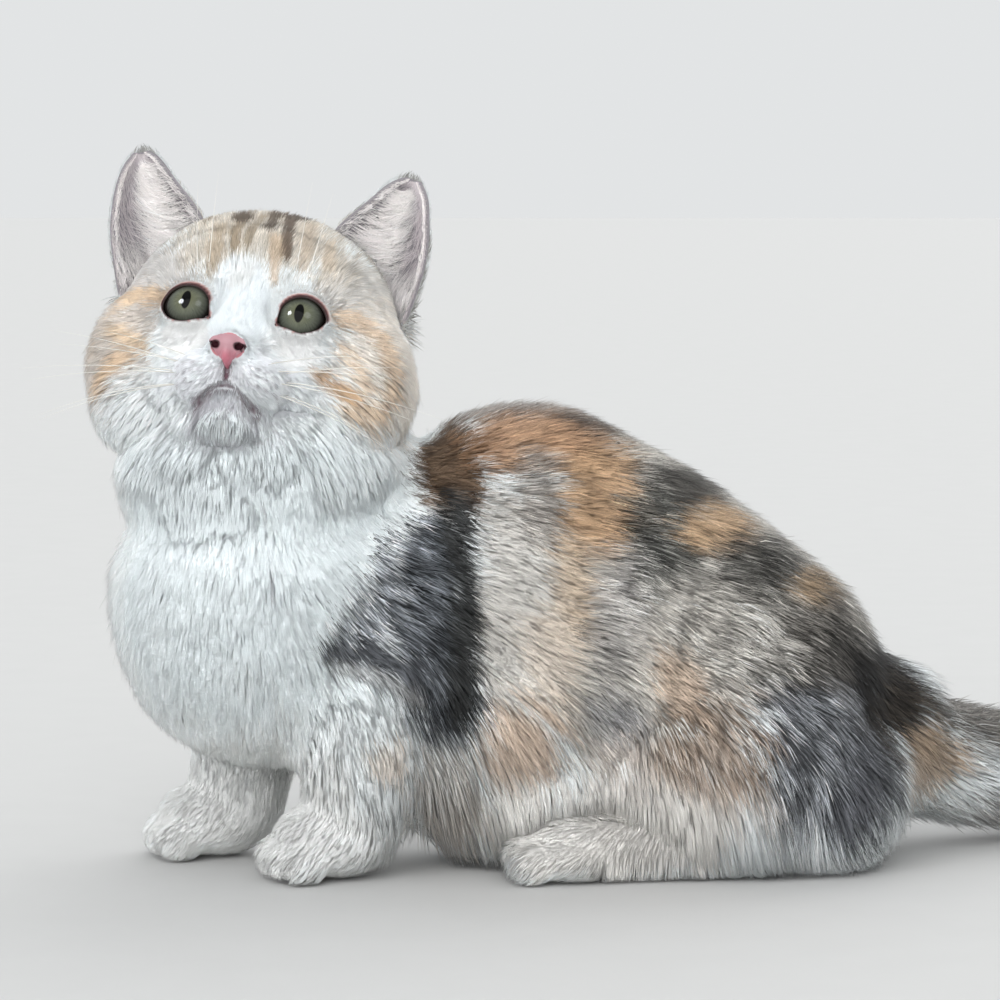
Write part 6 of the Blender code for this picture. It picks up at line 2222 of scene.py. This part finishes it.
@dataclass
class Studio:
    """A plain pale floor, soft light, and the portrait's camera."""

    place: tuple = (0.0, -1.450, 0.255)
    pitch: float = 85.0
    focal_pixels: float = 4121.0
    frame_pixels: float = 1000.0

    def build(self) -> None:
        """Sets the studio up."""
        bpy.data.collections.new(EYE_GROUP)
        shape = bmesh.new()
        bmesh.ops.create_grid(shape, x_segments=1, y_segments=1, size=12.0)
        floor = new_piece("studio_floor", shape)
        material, tree, shader = new_material("pale_paper_matt")
        place = add_node(tree, "ShaderNodeTexCoord", {}, {})
        grain = add_node(
            tree, "ShaderNodeTexNoise", {}, {"Vector": place.outputs["Object"], "Scale": 40.0, "Detail": 4.0}
        )
        tone = add_node(
            tree,
            "ShaderNodeMix",
            {"data_type": "RGBA"},
            {0: grain.outputs["Fac"], 6: (*linear("D4D4D3"), 1), 7: (*linear("D0D0CF"), 1)},
        )
        tree.links.new(tone.outputs[2], shader.inputs["Base Color"])
        shader.inputs["Roughness"].default_value = 0.8
        floor.data.materials.append(material)
        world = bpy.data.worlds.new("studio")
        bpy.context.scene.world = world
        world.use_nodes = True
        ground = world.node_tree.nodes["Background"]
        ground.inputs["Color"].default_value = (*linear("EDEFF0"), 1)
        ground.inputs["Strength"].default_value = 0.90
        self.sun("key", (-0.50, -1.6, 0.90), 1.45, 60, "FFFFFF")
        self.sun("rear", (0.8, 1.6, 1.3), 0.8, 60, "FFFFFF")
        self.lamp("window_left", (-1.36, -0.85, 1.57), (-0.16, -0.05, 0.18), 0.60, 95, "F4F8FF")
        self.lamp("window_right", (0.70, -1.33, 1.44), (-0.16, -0.05, 0.18), 0.95, 22, "F4F8FF")
        bpy.context.scene.view_settings.view_transform = "Standard"
        camera = bpy.data.cameras.new("portrait")
        camera.sensor_width = 36.0
        camera.lens = self.focal_pixels / self.frame_pixels * camera.sensor_width
        camera.clip_start = 0.05
        view = bpy.data.objects.new("portrait", camera)
        bpy.context.scene.collection.objects.link(view)
        view.location = Vector(self.place) + MID_BACK
        view.rotation_euler = (math.radians(self.pitch), 0, 0)
        bpy.context.scene.camera = view

    @staticmethod
    def sun(name: str, place: tuple, power: float, spread: float, colour: str) -> None:
        """Adds even light from the direction of a place, as soft as a wide spread makes it."""
        light = bpy.data.lights.new(name, "SUN")
        light.energy = power
        light.angle = math.radians(spread)
        light.color = linear(colour)
        lamp = bpy.data.objects.new(name, light)
        bpy.context.scene.collection.objects.link(lamp)
        lamp.location = place
        lamp.rotation_euler = Vector(place).to_track_quat("Z", "Y").to_euler()

    @staticmethod
    def lamp(name: str, place: tuple, aim: tuple, size: float, power: float, colour: str) -> None:
        """Adds a round lamp that faces a point and lights nothing but the eyes."""
        light = bpy.data.lights.new(name, "AREA")
        light.shape = "DISK"
        light.size = size
        light.energy = power
        light.color = linear(colour)
        lamp = bpy.data.objects.new(name, light)
        bpy.context.scene.collection.objects.link(lamp)
        lamp.location = place
        lamp.rotation_euler = (Vector(place) - Vector(aim)).to_track_quat("Z", "Y").to_euler()
        lamp.light_linking.receiver_collection = bpy.data.collections[EYE_GROUP]
        lamp.visible_diffuse = False


def build_eyes() -> None:
    """Makes both eyes with the edges of their lids."""
    place = HEAD_SPACE.matrix()
    rim = LeatherFinish("lid_margin_dark_skin", "FFFFFF", "C9BDB8", 0.3).material()
    for side in Side:
        globe, look = EYES.globe(side, place)
        finished(globe, EyeFinish().material(side, look), "iris", f"eye_{side.name.lower()}")
        bpy.data.collections[EYE_GROUP].objects.link(globe)
        for piece in (EYES.margin(side, place), EYES.corner_flesh(side, place)):
            paint(piece.data, np.tile(linear("33221F"), (len(piece.data.vertices), 1)))
            finished(piece, rim, "iris")


def main() -> None:
    """Builds the cat and its studio."""
    logging.basicConfig(level=logging.INFO, format="%(name)s %(message)s", stream=sys.stdout)
    Studio().build()
    lie, markings = Lie(), Markings()
    skin = Skin(lie, markings)
    body = skin.build()
    build_eyes()
    NoseLeather().build()
    Coat(lie, markings, skin).grow(body)
    Whiskers().build()


if __name__ == "__main__":
    main()
